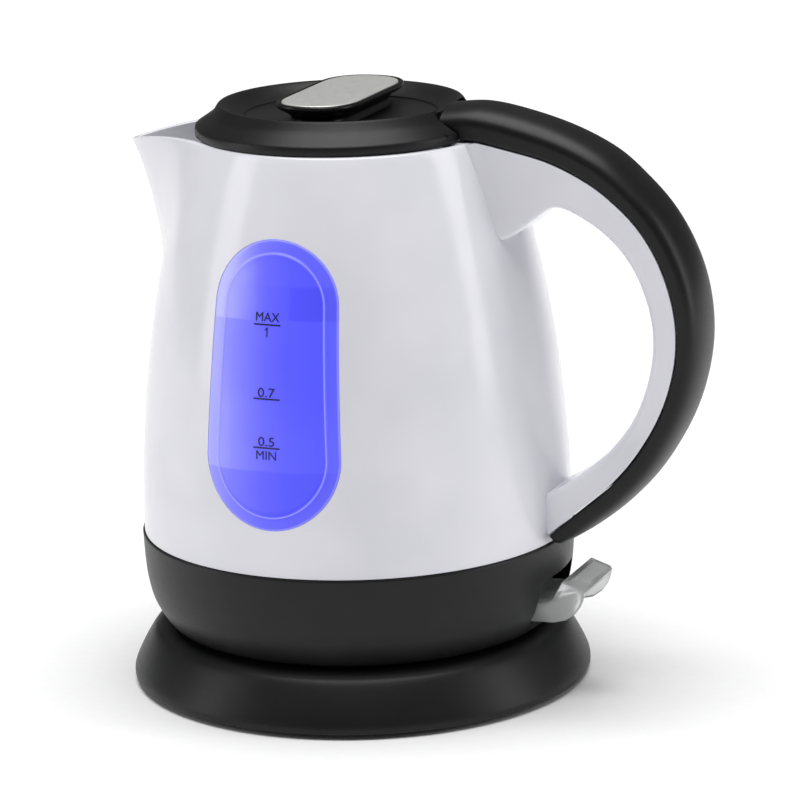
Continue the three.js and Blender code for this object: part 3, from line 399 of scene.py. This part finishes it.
def applyAll(piece):
    graph = bpy.context.evaluated_depsgraph_get()
    mesh = bpy.data.meshes.new_from_object(piece.evaluated_get(graph))
    piece.modifiers.clear()
    old = piece.data
    piece.data = mesh
    bpy.data.meshes.remove(old)


def cut(piece, *tools, sharpDegrees=32):
    for tool in tools:
        change = piece.modifiers.new("cut", "BOOLEAN")
        change.operation = "DIFFERENCE"
        change.solver = "EXACT"
        change.object = tool
    bpy.context.view_layer.update()
    applyAll(piece)
    for tool in tools:
        bpy.data.objects.remove(tool)
    shadeSmooth(piece, sharpDegrees)
    return piece


def bevelEdges(piece, widthMm, angleDegrees, segments):
    change = piece.modifiers.new("edges", "BEVEL")
    change.width = widthMm * mm
    change.segments = segments
    change.limit_method = "ANGLE"
    change.angle_limit = math.radians(angleDegrees)
    applyAll(piece)
    shadeSmooth(piece)
    return piece


def joinPieces(name, pieces, body, *replaced, slot):
    bpy.ops.object.select_all(action="DESELECT")
    for piece in pieces:
        piece.select_set(True)
    bpy.context.view_layer.objects.active = pieces[0]
    bpy.ops.object.join()
    pieces[0].name = name
    settle(pieces[0], body, *replaced, slot=slot)


def settle(piece, body, *replaced, slot):
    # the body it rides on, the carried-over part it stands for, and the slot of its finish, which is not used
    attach(piece, body)
    if replaced:
        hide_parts(*replaced)


# The body's side follows an ellipse from the seam to the shoulder; the spout grows out of it as a keel.
bodyShell = {"radius": 70.4, "widestZ": 50, "taper": 180, "wall": 2.4, "bottomZ": 51.2, "shoulderZ": 180.8,
             "tipRadius": 76.0, "tipZ": 175.4, "spoutStartZ": 108, "spoutCurve": 2.1, "tipRound": 0.03,
             "rimEndX": -32, "rimRise": 2.5, "mouthRadius": 40.5, "mouthX": -1.93, "ledge": 3.2, "edge": 0.5,
             "columns": 300, "gather": 0.12, "lean": 0.92}


def bodyRadius(z):
    b = bodyShell
    return b["radius"] * math.sqrt(1 - ((z - b["widestZ"]) / b["taper"]) ** 2)


def keelRadius(z):
    b = bodyShell
    rise = max(0.0, (z - b["spoutStartZ"]) / (b["tipZ"] - b["spoutStartZ"]))
    return bodyRadius(z) + (b["tipRadius"] - bodyRadius(b["tipZ"])) * rise ** b["spoutCurve"]


def bodyReach(angle, z, inset=0.0):
    # distance from the axis to the body's side, straight tangents running from the round part to the keel
    r = bodyRadius(z) - inset
    keel = max(keelRadius(z) - inset * 1.3, r + 1e-6)
    tangent = math.acos(min(1.0, r / keel))
    soft = bodyShell["tipRound"] * min(1.0, tangent / 0.3)
    fromKeel = math.sqrt((math.pi - abs(angle)) ** 2 + soft ** 2)
    tangent += soft
    return r / math.cos(tangent - fromKeel) if fromKeel < tangent else r


def rimHeight(x):
    # the rim climbs from the spout's tip to the shoulder, steeply at first
    b = bodyShell
    run = min(1.0, max(0.0, (x + b["tipRadius"]) / (b["tipRadius"] + b["rimEndX"])))
    return b["tipZ"] + (b["shoulderZ"] - b["tipZ"]) * (1 - (1 - run) ** b["rimRise"])


def bodyColumn(angle, inset, down, levels=70):
    # one upright line of the side from the bottom to the rim; down lowers its upper end for a rounded edge
    top = bodyShell["shoulderZ"]
    for _ in range(6):
        top = rimHeight(bodyReach(angle, top, inset) * math.cos(angle))
    heights = [lerp(bodyShell["bottomZ"], top - down, t) for t in steps(levels, 0, 1)]
    return [(bodyReach(angle, z, inset) * math.cos(angle), bodyReach(angle, z, inset) * math.sin(angle), z)
            for z in heights], top


def makeBodyShell():
    b = bodyShell
    angles = []
    for i in range(b["columns"]):  # the columns gather and lean towards the keel, where the beak is sharp
        t = -1 + 2 * (i + 0.5) / b["columns"]
        a = math.pi * (t - b["gather"] * math.sin(math.pi * t))
        angles.append(math.pi * math.copysign(abs(a / math.pi) ** b["lean"], a))
    columns = []
    for a in angles:
        outer, top = bodyColumn(a, 0, b["edge"])
        inner, _ = bodyColumn(a, b["wall"], b["edge"])
        rim = []
        for turn, isOuter in ((30, True), (60, True), (90, True), (90, False), (60, False), (30, False)):
            rounding = b["edge"] * (1 - math.cos(math.radians(turn)))
            z = top - b["edge"] * (1 - math.sin(math.radians(turn)))
            reach = bodyReach(a, z, rounding if isOuter else b["wall"] - rounding)
            rim.append((reach * math.cos(a), reach * math.sin(a), z))
        columns.append(outer + rim + inner[::-1])
    return loft("bodySide", columns, white, closed=True, sharpDegrees=40)


def makeMouthLedge():
    b = bodyShell
    top, low = b["shoulderZ"], b["shoulderZ"] - b["ledge"]
    count = 160
    rings = []
    outerRadius = bodyRadius(b["shoulderZ"]) - 1.0
    mouthX, mouth = b["mouthX"], b["mouthRadius"]
    for x, r, z in ((0, outerRadius, low), (0, outerRadius, top - 0.2), (mouthX, mouth + 0.6, top - 0.2),
                    (mouthX, mouth, top - 0.8), (mouthX, mouth, low)):
        rings.append([(x + r * math.cos(2 * math.pi * i / count), r * math.sin(2 * math.pi * i / count), z)
                      for i in range(count)])
    return loft("mouthLedge", rings, white, closed=True)


# The lid's knuckles lie in a round pocket in the mouth's ledge, one on each side of the handle's front end.
hinge = {"x": 40.5, "z": 183.5, "knuckleRadius": 1.1, "knuckleStart": 13.6, "knuckleEnd": 18.4, "pocket": 5.4}


def windowOutline(inset, count=96):
    # the window's outline, moved in by inset, as (x, z)
    w = window
    wide, narrow = w["halfWidth"] - inset, w["topHalfWidth"] - inset
    lean = math.asin((w["halfWidth"] - w["topHalfWidth"]) / (w["highZ"] - w["lowZ"]))
    top = [(w["x"] + narrow * math.cos(a), w["highZ"] + narrow * math.sin(a))
           for a in steps(count - 1, lean, math.pi - lean)]
    bottom = [(w["x"] + wide * math.cos(a), w["lowZ"] + wide * math.sin(a))
              for a in steps(count - 1, math.pi - lean, 2 * math.pi + lean)]
    ring = []
    for arc, following in ((top, bottom), (bottom, top)):
        ring += arc
        ring += [(lerp(arc[-1][0], following[0][0], t), lerp(arc[-1][1], following[0][1], t))
                 for t in steps(41, 0, 1)[1:-1]]
    return ring


def onWindow(x, z, proud):
    # the point of the body's side at x and z, moved straight out from the axis by proud
    r = bodyRadius(z)
    back = math.sqrt(r * r - x * x)
    scale = (r + proud) / r
    return (x * scale, -back * scale, z)


def makeWindow():
    w = window
    middle = w["topHalfWidth"] - 0.03  # the last ring is 0.03 mm from the middle line
    layers = [(w["gap"], -w["depth"]), (w["gap"], -w["edge"])]
    for turn in (30, 60, 90):
        a = math.radians(turn)
        layers.append((w["gap"] + w["edge"] * (1 - math.cos(a)), -w["edge"] * (1 - math.sin(a)) + w["lip"]))
    ridgeStart, ridgeEnd = w["ridgeInset"] - w["ridgeHalf"], w["ridgeInset"] + w["ridgeHalf"]
    layers += [(1.6, w["lip"]), (ridgeStart - 0.25, w["lip"])]
    for t in steps(6, 0, 1):
        proud = w["lip"] + w["ridgeHeight"] * math.sin(math.pi * t) ** 0.8
        layers.append((ridgeStart + 2 * w["ridgeHalf"] * t, proud))
    layers += [(inset, w["face"]) for inset in (ridgeEnd + 0.25, 7, 11, 16, 19, middle)]
    layers = [(inset, -w["depth"]) for inset in (middle, 12, 5)] + layers
    rings = [[onWindow(x, z, proud) for x, z in windowOutline(inset)] for inset, proud in layers]
    # both faces close on the window's middle line, where the two halves of a ring meet
    back, front = [[onWindow(w["x"], z, proud) for _, z in windowOutline(middle)]
                   for proud in (-w["depth"], w["face"])]
    return loft("waterWindow", [back] + rings + [front], windowBlue, sharpDegrees=50, capped=False)


# each line is (x, z); each word is (text, x, base line z, cap height, width factor)
marks = {"lineLength": 9.0, "lineHeight": 0.45, "lift": 0.06, "thickness": 0.12, "sizePerCap": 1.38,
         "lines": [(-2.8, 130.8), (-2.25, 107.9), (-2.1, 92.6)],
         "words": [("MAX", -2.8, 131.8, 2.9, 0.97), ("0.7", -2.4, 108.5, 2.95, 1.2), ("0.5", -2.1, 93.2, 2.95, 1.2),
                   ("MIN", -2.2, 88.9, 2.9, 1.02)],
         "one": [(-0.28, 0), (0.1, 0), (0.1, 3.0), (-0.2, 3.0), (-0.85, 2.35), (-0.85, 1.98), (-0.28, 2.4)],
         "oneAt": (-2.6, 127.0)}


def wrapOnWindow(piece, proud, thickness):
    # a flat mark's front stands at negative y, its back at 0
    for v in piece.data.vertices:
        x, y, z = v.co.x / mm, v.co.y / mm, v.co.z / mm
        lift = proud + (thickness if y < 0 else 0)
        v.co = Vector(onWindow(x, z, lift)) * mm


def makeMarks():
    m = marks
    pieces = []
    for atX, atZ in m["lines"]:
        points, faces = [], []
        for i, t in enumerate(steps(12, -0.5, 0.5)):
            x = atX + m["lineLength"] * t
            for y, dz in ((0, 0), (0, m["lineHeight"]), (-1, m["lineHeight"]), (-1, 0)):
                points.append((x, y, atZ + dz - m["lineHeight"] / 2))
            if i:
                a, b = (i - 1) * 4, i * 4
                faces += [(a + k, a + (k + 1) % 4, b + (k + 1) % 4, b + k) for k in range(4)]
        faces += [(0, 1, 2, 3), tuple(range(len(points) - 4, len(points)))]
        pieces.append(makeMesh("gaugeLine", points, faces, ink))
    one = [(m["oneAt"][0] + x, m["oneAt"][1] + z) for x, z in m["one"]]
    pieces.append(slabY("gaugeOne", one, 0, -1, ink))
    for text, atX, atZ, height, stretch in m["words"]:
        curve = bpy.data.curves.new("gaugeText", "FONT")
        curve.body = text
        curve.align_x = "CENTER"
        curve.size = height * m["sizePerCap"] * mm
        curve.extrude = 0.5 * mm
        curve.resolution_u = 6
        words = bpy.data.objects.new("gaugeText", curve)
        bpy.context.collection.objects.link(words)
        bpy.context.view_layer.update()
        graph = bpy.context.evaluated_depsgraph_get()
        mesh = bpy.data.meshes.new_from_object(words.evaluated_get(graph))
        bpy.data.objects.remove(words)
        piece = bpy.data.objects.new("gaugeMark", mesh)
        bpy.context.collection.objects.link(piece)
        mesh.materials.clear()
        mesh.materials.append(ink)
        for v in mesh.vertices:
            v.co = Vector((v.co.x * stretch + atX * mm, -mm if v.co.z > 0 else 0.0, v.co.y + atZ * mm))
        shape = bmesh.new()
        shape.from_mesh(mesh)
        bmesh.ops.remove_doubles(shape, verts=shape.verts, dist=0.01 * mm)
        bmesh.ops.triangulate(shape, faces=[f for f in shape.faces if len(f.verts) > 4])
        bmesh.ops.recalc_face_normals(shape, faces=shape.faces)
        shape.to_mesh(mesh)
        shape.free()
        pieces.append(piece)
    for piece in pieces:
        wrapOnWindow(piece, m["lift"], m["thickness"])
    return pieces


side = makeBodyShell()
cut(side, slabY("windowHole", windowOutline(0), -90, -40), sharpDegrees=40)
ledge = makeMouthLedge()
pocketEnd = hinge["knuckleEnd"] + 4
cut(ledge, rodY("hingePocket", hinge["pocket"], -pocketEnd, pocketEnd, hinge["x"], hinge["z"]))
joinPieces("bodyShellPiece", [side, ledge], "kettle", "body_shell", slot="white")
settle(makeWindow(), "kettle", "water_window", slot="window")
joinPieces("gaugeMarks", makeMarks(), "kettle", slot="black")
print("body, window and gauge ready")

# Profiles are (radius, z); the lip stands inside the body's lower edge, and the slot is where the lever comes out.
lowerBand = {"outer": [(60.5, 19.7), (63.9, 21.4), (68.1, 28.5), (69.9, 35.4), (70.6, 42), (71, 50.9)],
             "inner": [(67.4, 45), (66.8, 32), (60, 21.9)], "bottomZ": 19.7, "ringRadius": 55, "ringTopZ": 21.9,
             "lipRadius": 63, "lipTopZ": 54, "lipLowZ": 52, "lipGap": 0.3, "edge": 0.5,
             "slotHalf": 15.6, "slotLow": 24.6, "slotHigh": 39.3, "slotCorner": 1.6}


def roundedRect(y0, y1, z0, z1, corner, count=8):
    ring = []
    for cy, cz, start in ((y1 - corner, z1 - corner, 0), (y0 + corner, z1 - corner, 90),
                          (y0 + corner, z0 + corner, 180), (y1 - corner, z0 + corner, 270)):
        for t in steps(count, 0, 90):
            a = math.radians(start + t)
            ring.append((cy + corner * math.cos(a), cz + corner * math.sin(a)))
    return ring


def makeLowerBand():
    b = lowerBand
    outside = smoothLine(b["outer"], 60)
    seamRadius, seamZ = outside.pop()
    outside += [(seamRadius, seamZ - b["edge"]), (seamRadius - b["edge"] * 0.3, seamZ - b["edge"] * 0.3),
                (seamRadius - b["edge"], seamZ)]
    lipOuter = bodyShell["radius"] - bodyShell["wall"] - b["lipGap"]
    profile = [(b["ringRadius"], b["bottomZ"])] + outside + [
        (lipOuter, seamZ), (lipOuter, b["lipTopZ"]), (b["lipRadius"], b["lipTopZ"]), (b["lipRadius"], b["lipLowZ"])]
    profile += b["inner"] + [(b["ringRadius"], b["ringTopZ"])]
    piece = turned("lowerBandPiece", profile, black, 200)
    outline = roundedRect(-b["slotHalf"], b["slotHalf"], b["slotLow"], b["slotHigh"], b["slotCorner"])
    tool = loft("slotTool", [[(x, y, z) for y, z in outline] for x in (55, 80)], None)
    cut(piece, tool)
    return piece


settle(makeLowerBand(), "kettle", "lower_band", slot="black")
print("lower band ready")

# Stations along the handle, as (x, z) of the crown, of the parting line and of the inner edge.
handle = {"halfWidth": 12.5, "corner": 3.0, "seam": 0.25, "sideHeight": 0.42, "fullness": 0.92,
          "flareTop": 2.4, "flareLow": -1.6, "flareSplitZ": 115, "flareFade": 3.2,
          "crown": [(36, 191.2), (48, 192), (62.3, 189.4), (77, 184.8), (90, 178.4), (99.3, 170.6), (108.3, 160.8),
                    (115.2, 149.2), (119.6, 136.5), (121.2, 122), (119.5, 107.5), (114.5, 92.5), (105.4, 76.9),
                    (95.2, 65.4), (84.4, 56.6), (74.2, 50.2)],
          "parting": [(36, 181.4), (46.5, 181.3), (57.9, 179.2), (72, 175.8), (84, 170.5), (93, 164.4), (101.7, 155.9),
                      (108.3, 145.2), (112.5, 132.8), (113.8, 120.8), (112.2, 108.3), (107.6, 95.2), (99.4, 81.6),
                      (90, 71), (80.5, 62.9), (70.2, 54.2)],
          "inner": [(34, 152), (42, 149), (57, 150), (66.2, 156.2), (73.5, 161), (81.2, 159), (91.5, 152.3),
                    (99.1, 143.2), (104, 131.8), (105.8, 120.5), (104.3, 108), (99.5, 95), (92, 84.5), (83.2, 76.6),
                    (73.8, 70), (62, 64)],
          # how much the section shrinks, and where along the handle, to round the grip's two ends
          "frontEnd": [(2.2, 0.0), (0.9, 0.0003), (0.3, 0.0016), (0.0, 0.0045)],
          "lowEnd": [(0.25, 0.9965), (0.8, 0.9985), (2.0, 1.0)]}


def handleFrame(t):
    foot, crown, inner = (catmull(handle[k], t) for k in ("parting", "crown", "inner"))
    up = (crown[0] - foot[0], crown[1] - foot[1])
    height = math.hypot(*up)
    return foot, (up[0] / height, up[1] / height), height, inner


def gripSection(t, shrink=0.0):
    foot, up, height, _ = handleFrame(t)
    half = handle["halfWidth"] - shrink
    height -= shrink
    low = handle["seam"] + shrink * 0.5
    shoulder, power, edge = handle["sideHeight"] * height, handle["fullness"], 0.4
    ring = [(-half + edge, low), (-half, low + edge)]
    ring += [(-half, lerp(low + edge, shoulder, k)) for k in steps(5, 0, 1)[1:-1]]
    for a in steps(40, 0, math.pi):
        ring.append((-half * math.copysign(abs(math.cos(a)) ** power, math.cos(a)),
                     shoulder + (height - shoulder) * math.sin(a) ** power))
    ring += [(half, lerp(low + edge, shoulder, k)) for k in steps(5, 1, 0)[1:-1]]
    ring += [(half, low + edge), (half - edge, low)]
    ring += [(lerp(-half + edge, half - edge, k), low) for k in steps(8, 1, 0)[1:-1]]
    return [(foot[0] + up[0] * s, y, foot[1] + up[1] * s) for y, s in ring]


def makeGrip():
    rings = [gripSection(t, shrink) for shrink, t in handle["frontEnd"]]
    rings += [gripSection(t) for t in steps(220, 0.006, 0.994)]
    rings += [gripSection(t, shrink) for shrink, t in handle["lowEnd"]]
    piece = loft("handleGripPiece", rings, gripBlack, sharpDegrees=50)
    # the grip stops about 0.3 mm clear of the lower housing, the body and the lid's rim
    profile = [(0, 40), (71.3, 40), (71.3, 50.9)]
    profile += [(bodyRadius(z) + 0.25, z) for z in steps(40, 52, bodyShell["shoulderZ"])]
    cut(piece, turned("bodyTool", profile + [(48.6, 181.1), (0, 181.1)], None, 240), sharpDegrees=50)
    return piece


def sideFlare(x, z, y):
    # the sides spread where the handle grows out of the body at the top, and close in at the bottom
    clear = math.hypot(x, y) - bodyRadius(min(z, bodyShell["shoulderZ"]))
    amount = handle["flareTop"] if z > handle["flareSplitZ"] else handle["flareLow"]
    return amount * math.exp(-max(clear, 0.0) / handle["flareFade"])


def innerSection(t):
    foot, _, _, inner = handleFrame(t)
    out = (foot[0] - inner[0], foot[1] - inner[1])
    height = math.hypot(*out)
    up = (out[0] / height, out[1] / height)
    half = handle["halfWidth"]
    corner = min(handle["corner"], height / 3)
    # down one side, round the two inner corners, and up the other side
    ring = [(half, lerp(corner, height - 0.1, k)) for k in steps(14, 1, 0)]
    ring += [(half - corner * (1 - math.cos(a)), corner * (1 - math.sin(a))) for a in steps(8, 0, math.pi / 2)[1:]]
    ring += [((half - corner) * k, 0) for k in steps(10, 1, -1)[1:-1]]
    ring += [(-half + corner * (1 - math.cos(a)), corner * (1 - math.sin(a))) for a in steps(8, math.pi / 2, 0)[:-1]]
    ring += [(-half, lerp(corner, height - 0.1, k)) for k in steps(14, 0, 1)]
    points = []
    for y, s in ring:
        x, z = inner[0] + up[0] * s, inner[1] + up[1] * s
        spread = 1 + sideFlare(x, z, half) / half * min(1.0, abs(y) / half)
        points.append((x, y * spread, z))
    return points


def makeInner():
    start = 0.6 / (len(handle["inner"]) - 1)  # just inside the body
    piece = loft("handleInnerPiece", [innerSection(t) for t in steps(200, start, 1.0)], white, sharpDegrees=50)
    # its roots end 1.2 mm inside the body's side, and its top clears the lid's rim
    profile = [(0, 40)] + [(bodyRadius(z) - 1.2, z) for z in steps(40, 40, 180)] + [(0, 180)]
    above = [(20, 180.75), (47.9, 180.75), (48.4, 181.1), (60, 181.2), (60, 200), (20, 200)]
    cut(piece, turned("bodyTool", profile, None, 200), slabY("aboveTool", above, -30, 30), sharpDegrees=50)
    return piece


settle(makeGrip(), "kettle", "handle_grip", slot="black")
settle(makeInner(), "kettle", "handle_inner", slot="white")
print("handle ready")

lid = {"x": -1.93,
       "outer": [(47.0, 181.1), (47.1, 181.6), (47.1, 183.3), (46.9, 183.8), (46.5, 184.2), (42.9, 186.6),
                 (41.0, 188.1), (39.9, 189.9), (39.3, 190.5), (38.6, 190.6), (37.7, 190.3), (36.4, 189.4),
                 (34.4, 188.1), (32.4, 187.1), (31.3, 186.75), (31.0, 186.3), (29.5, 186.3)],
       "under": [(0, 184.3), (31, 184.3), (36, 186.3), (38.4, 187.6), (40.6, 185.4), (45.1, 182.6), (45.1, 181.1)],
       "topZ": 190.6, "dishZ": 186.3, "notchHalf": 13.5, "notchX": 35}


def makeLid():
    profile = [(0, lid["dishZ"])] + lid["outer"][::-1] + lid["under"][::-1]
    piece = turned("lidCoverPiece", profile, black, 200, lid["x"], sharpDegrees=28)
    # the notch is round about the hinge, so the handle's end stays clear as the lid swings
    x, z, half = hinge["x"], hinge["z"], lid["notchHalf"]
    reach = math.hypot(x - lid["notchX"], lid["topZ"] - z)
    behind = boxShape("behindTool", (x, -half, 170), (60, half, 200))
    cut(piece, rodY("notchTool", reach, -half, half, x, z, None, 96), behind, sharpDegrees=28)
    start, end = hinge["knuckleStart"], hinge["knuckleEnd"]
    knuckles = [rodY("knuckle", hinge["knuckleRadius"], s * start, s * end, x, z, black) for s in (-1, 1)]
    return [piece] + knuckles


joinPieces("lidCoverPiece", makeLid(), "lid", "lid_cover", slot="black")

# A rounded bar whose ends are fuller than half circles, with a glossy rim standing round an inset plate.
knob = {"x": -1.8, "halfWidth": 14.15, "straight": 14.6, "end": 16.4, "fullness": 0.86,
        "side": [(3.6, 185.8), (3.75, 186.6), (4.2, 187.5), (4.6, 188.2), (4.4, 189.0), (3.2, 190.1), (1.8, 190.9),
                 (0.8, 191.5), (0.2, 192.1), (0.0, 192.7)],
        "rim": [(0.05, 193.05), (0.25, 193.4), (0.6, 193.6), (1.0, 193.62), (1.3, 193.45), (1.45, 193.1),
                (1.5, 192.6)],
        "plate": [(1.8, 192.65), (1.7, 192.9), (1.7, 193.3), (1.85, 193.55), (2.2, 193.68), (3.5, 193.76), (6, 193.84),
                  (10, 193.88), (13.6, 193.9)]}


def knobRing(inset, z, count=48):
    half, end, power = knob["halfWidth"] - inset, knob["end"] - inset, knob["fullness"]
    ring = []
    for side in (1, -1):
        for a in steps(count, 0, math.pi):
            c, e = math.cos(a), math.sin(a)
            ring.append((knob["x"] + side * half * math.copysign(abs(c) ** power, c),
                         side * (knob["straight"] + end * abs(e) ** power), z))
        for t in steps(12, 1, -1)[1:-1]:
            ring.append((knob["x"] - side * half, side * knob["straight"] * t, z))
    return ring


knobSide = [knobRing(inset, z) for inset, z in smoothLine(knob["side"], 40) + knob["rim"]]
settle(loft("lidKnobPiece", knobSide, knobBlack, sharpDegrees=50), "lid", "lid_knob", slot="black")
plateRings = [knobRing(inset, z) for inset, z in knob["plate"]]
settle(loft("knobPlatePiece", plateRings, silver, sharpDegrees=50), "lid", "knob_plate", slot="silver")
print("lid ready")

# The lever is a bent bar, hollow from below; both outlines are (x, z).
lever = {"halfWidth": 14.6, "wall": 1.6, "edge": 0.5,
         "outside": [(59, 25.8), (66, 25.8), (72.4, 25.9), (76.6, 27), (79.6, 29.2), (81.6, 32), (82.6, 34.6),
                     (83, 36.6), (82.3, 37.7), (75.6, 40), (74.1, 37.3), (72.2, 33.9), (70, 32.3), (66.5, 31.7),
                     (59, 31.7)],
         "hollow": [(60.6, 24), (60.6, 30.1), (66.8, 30.1), (70.8, 30.7), (73.6, 33), (75.7, 36.6), (76.7, 37.9),
                    (81.4, 36.3), (90, 33), (86, 24)]}


def makeLever():
    piece = slabY("switchLeverPiece", lever["outside"], -lever["halfWidth"], lever["halfWidth"], clear)
    bevelEdges(piece, lever["edge"], 50, 3)
    hollowHalf = lever["halfWidth"] - lever["wall"]
    cut(piece, slabY("hollowTool", lever["hollow"], -hollowHalf, hollowHalf))
    return piece


settle(makeLever(), "lever", "switch_lever", slot="clear")
print("lever ready")

# The cover's profile is (radius, z); the gland's notch is a box on +X, turned to where the gland sits.
powerBase = {"skirt": [(75.3, 1.8), (75.5, 2.3), (75.45, 3.8), (74.9, 5.5), (73.9, 7.7), (72.2, 11), (70, 14.7),
                       (68.4, 16.9), (67, 18.0), (65.5, 18.8), (63.5, 19.25), (61, 19.3)],
             "under": [(73.3, 1.8), (73.2, 3.4), (71.5, 7), (66, 15), (62.5, 17.1)], "hole": 17.3, "holeEdge": 0.4,
             "topZ": 19.3, "glandLow": (64.5, -4.8, 0.8), "glandHigh": (77.5, 4.8, 8.1), "glandAngle": 55}


def makeBaseCover():
    b = powerBase
    profile = smoothLine(b["skirt"], 66)
    profile += [(b["hole"] + b["holeEdge"], b["topZ"]), (b["hole"], b["topZ"] - b["holeEdge"])]
    profile += [(b["hole"], b["under"][-1][1])] + b["under"][::-1]
    piece = turned("baseCoverPiece", profile, black, 220)
    notch = boxShape("glandTool", b["glandLow"], b["glandHigh"])
    notch.data.transform(Matrix.Rotation(math.radians(b["glandAngle"]), 4, "Z"))
    cut(piece, notch)
    return piece


settle(makeBaseCover(), "base", "base_cover", slot="black")
print("power base ready")

# Finishes of the parts that keep their own shape.
finishes = {
    black: ["base_plate", "bottom_cover"],
    innerBlack: ["base_socket", "control_block"],
    greyNylon: ["kettle_connector", "steam_tube"],
    liner: ["lid_liner", "spout_filter_frame"],
    lens: ["led_1", "led_2"],
    steel: ["heater_plate", "heating_element", "hinge_pin", "lever_pin", "knob_screw", "spout_filter_mesh"]
    + [f"base_screw_{i}" for i in (1, 2, 3)] + [f"bottom_screw_{i}" for i in (1, 2, 3)],
    copper: ["bimetal_disc"],
    rubber: ["cord_gland"] + [f"base_foot_{i}" for i in (1, 2, 3, 4)],
    silicone: ["lid_seal", "plate_seal"],
    board: ["led_board"],
}
for material, names in finishes.items():
    for name in names:
        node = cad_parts[name]
        node.data.materials.clear()
        node.data.materials.append(material)
        shadeSmooth(node, 30)
print("finishes set")

# Each softbox is (name, place, size, watts); places are in metres.
studio = {"floorPale": "#F4F4F4", "floorDeep": "#F2F2F2", "floorHalf": 3.0, "worldStrength": 0.14,
          "sunStrength": 3.15, "sunDegrees": 55, "sunAim": (0.0, 0.02, -1), "aim": (0, 0, 0.1),
          "softboxes": [("keyLeft", (-1.5, -0.8, 0.6), (0.6, 1.2), 6.0),
                        ("fillRight", (1.55, 0.3, 0.6), (0.5, 1.2), 6.5)],
          "camera": (0.484698, -1.170163, 0.415229), "turn": (1.3199497, 0.0269874, 0.3742362), "lens": 180}


# Matt painted paper: near white, with a barely visible tooth.
def paintedPaper():
    material, tree, place = newMaterial("mattPaintedPaper")
    tooth = addNode(tree, "ShaderNodeTexNoise", {"Scale": perMm(3), "Detail": 2.0}, {"Vector": place})
    colour = addNode(tree, "ShaderNodeValToRGB", {"stops": [(0.3, studio["floorDeep"]), (0.7, studio["floorPale"])]},
                     {"Fac": tooth.outputs["Fac"]})
    shader = addNode(tree, "ShaderNodeBsdfPrincipled", {"Roughness": 0.9}, {"Base Color": colour.outputs["Color"]})
    addNode(tree, "ShaderNodeOutputMaterial", links={"Surface": shader.outputs["BSDF"]})
    return material


def makeFloor():
    half = studio["floorHalf"]
    mesh = bpy.data.meshes.new("floor")
    mesh.from_pydata([(-half, -half, 0), (half, -half, 0), (half, half, 0), (-half, half, 0)], [], [(0, 1, 2, 3)])
    floor = bpy.data.objects.new("floor", mesh)
    bpy.context.collection.objects.link(floor)
    mesh.materials.append(paintedPaper())


def addLamp(name, light, aim, place=(0, 0, 0)):
    lamp = bpy.data.objects.new(name, light)
    lamp.location = place
    lamp.rotation_euler = (Vector(aim) - Vector(place)).to_track_quat("-Z", "Y").to_euler()
    bpy.context.collection.objects.link(lamp)


def makeLights():
    for name, place, size, watts in studio["softboxes"]:
        light = bpy.data.lights.new(name, "AREA")
        light.shape = "RECTANGLE"
        light.size, light.size_y = size
        light.energy = watts
        addLamp(name, light, studio["aim"], place)
    overhead = bpy.data.lights.new("overhead", "SUN")
    overhead.energy = studio["sunStrength"]
    overhead.angle = math.radians(studio["sunDegrees"])
    addLamp("overhead", overhead, studio["sunAim"])
    world = bpy.data.worlds.new("paleRoom")
    world.use_nodes = True
    background = world.node_tree.nodes["Background"]
    background.inputs["Color"].default_value = toLinear("#FFFFFF")
    background.inputs["Strength"].default_value = studio["worldStrength"]
    bpy.context.scene.world = world


def makeCamera():
    camera = bpy.data.cameras.new("studioCamera")
    camera.lens = studio["lens"]
    camera.sensor_width = 36
    camera.clip_start = 0.05
    holder = bpy.data.objects.new("studioCamera", camera)
    holder.location = studio["camera"]
    holder.rotation_euler = studio["turn"]
    bpy.context.collection.objects.link(holder)
    bpy.context.scene.camera = holder


makeFloor()
makeLights()
makeCamera()
bpy.context.scene.view_settings.view_transform = "Standard"  # colours come out as they are set
print("studio ready")
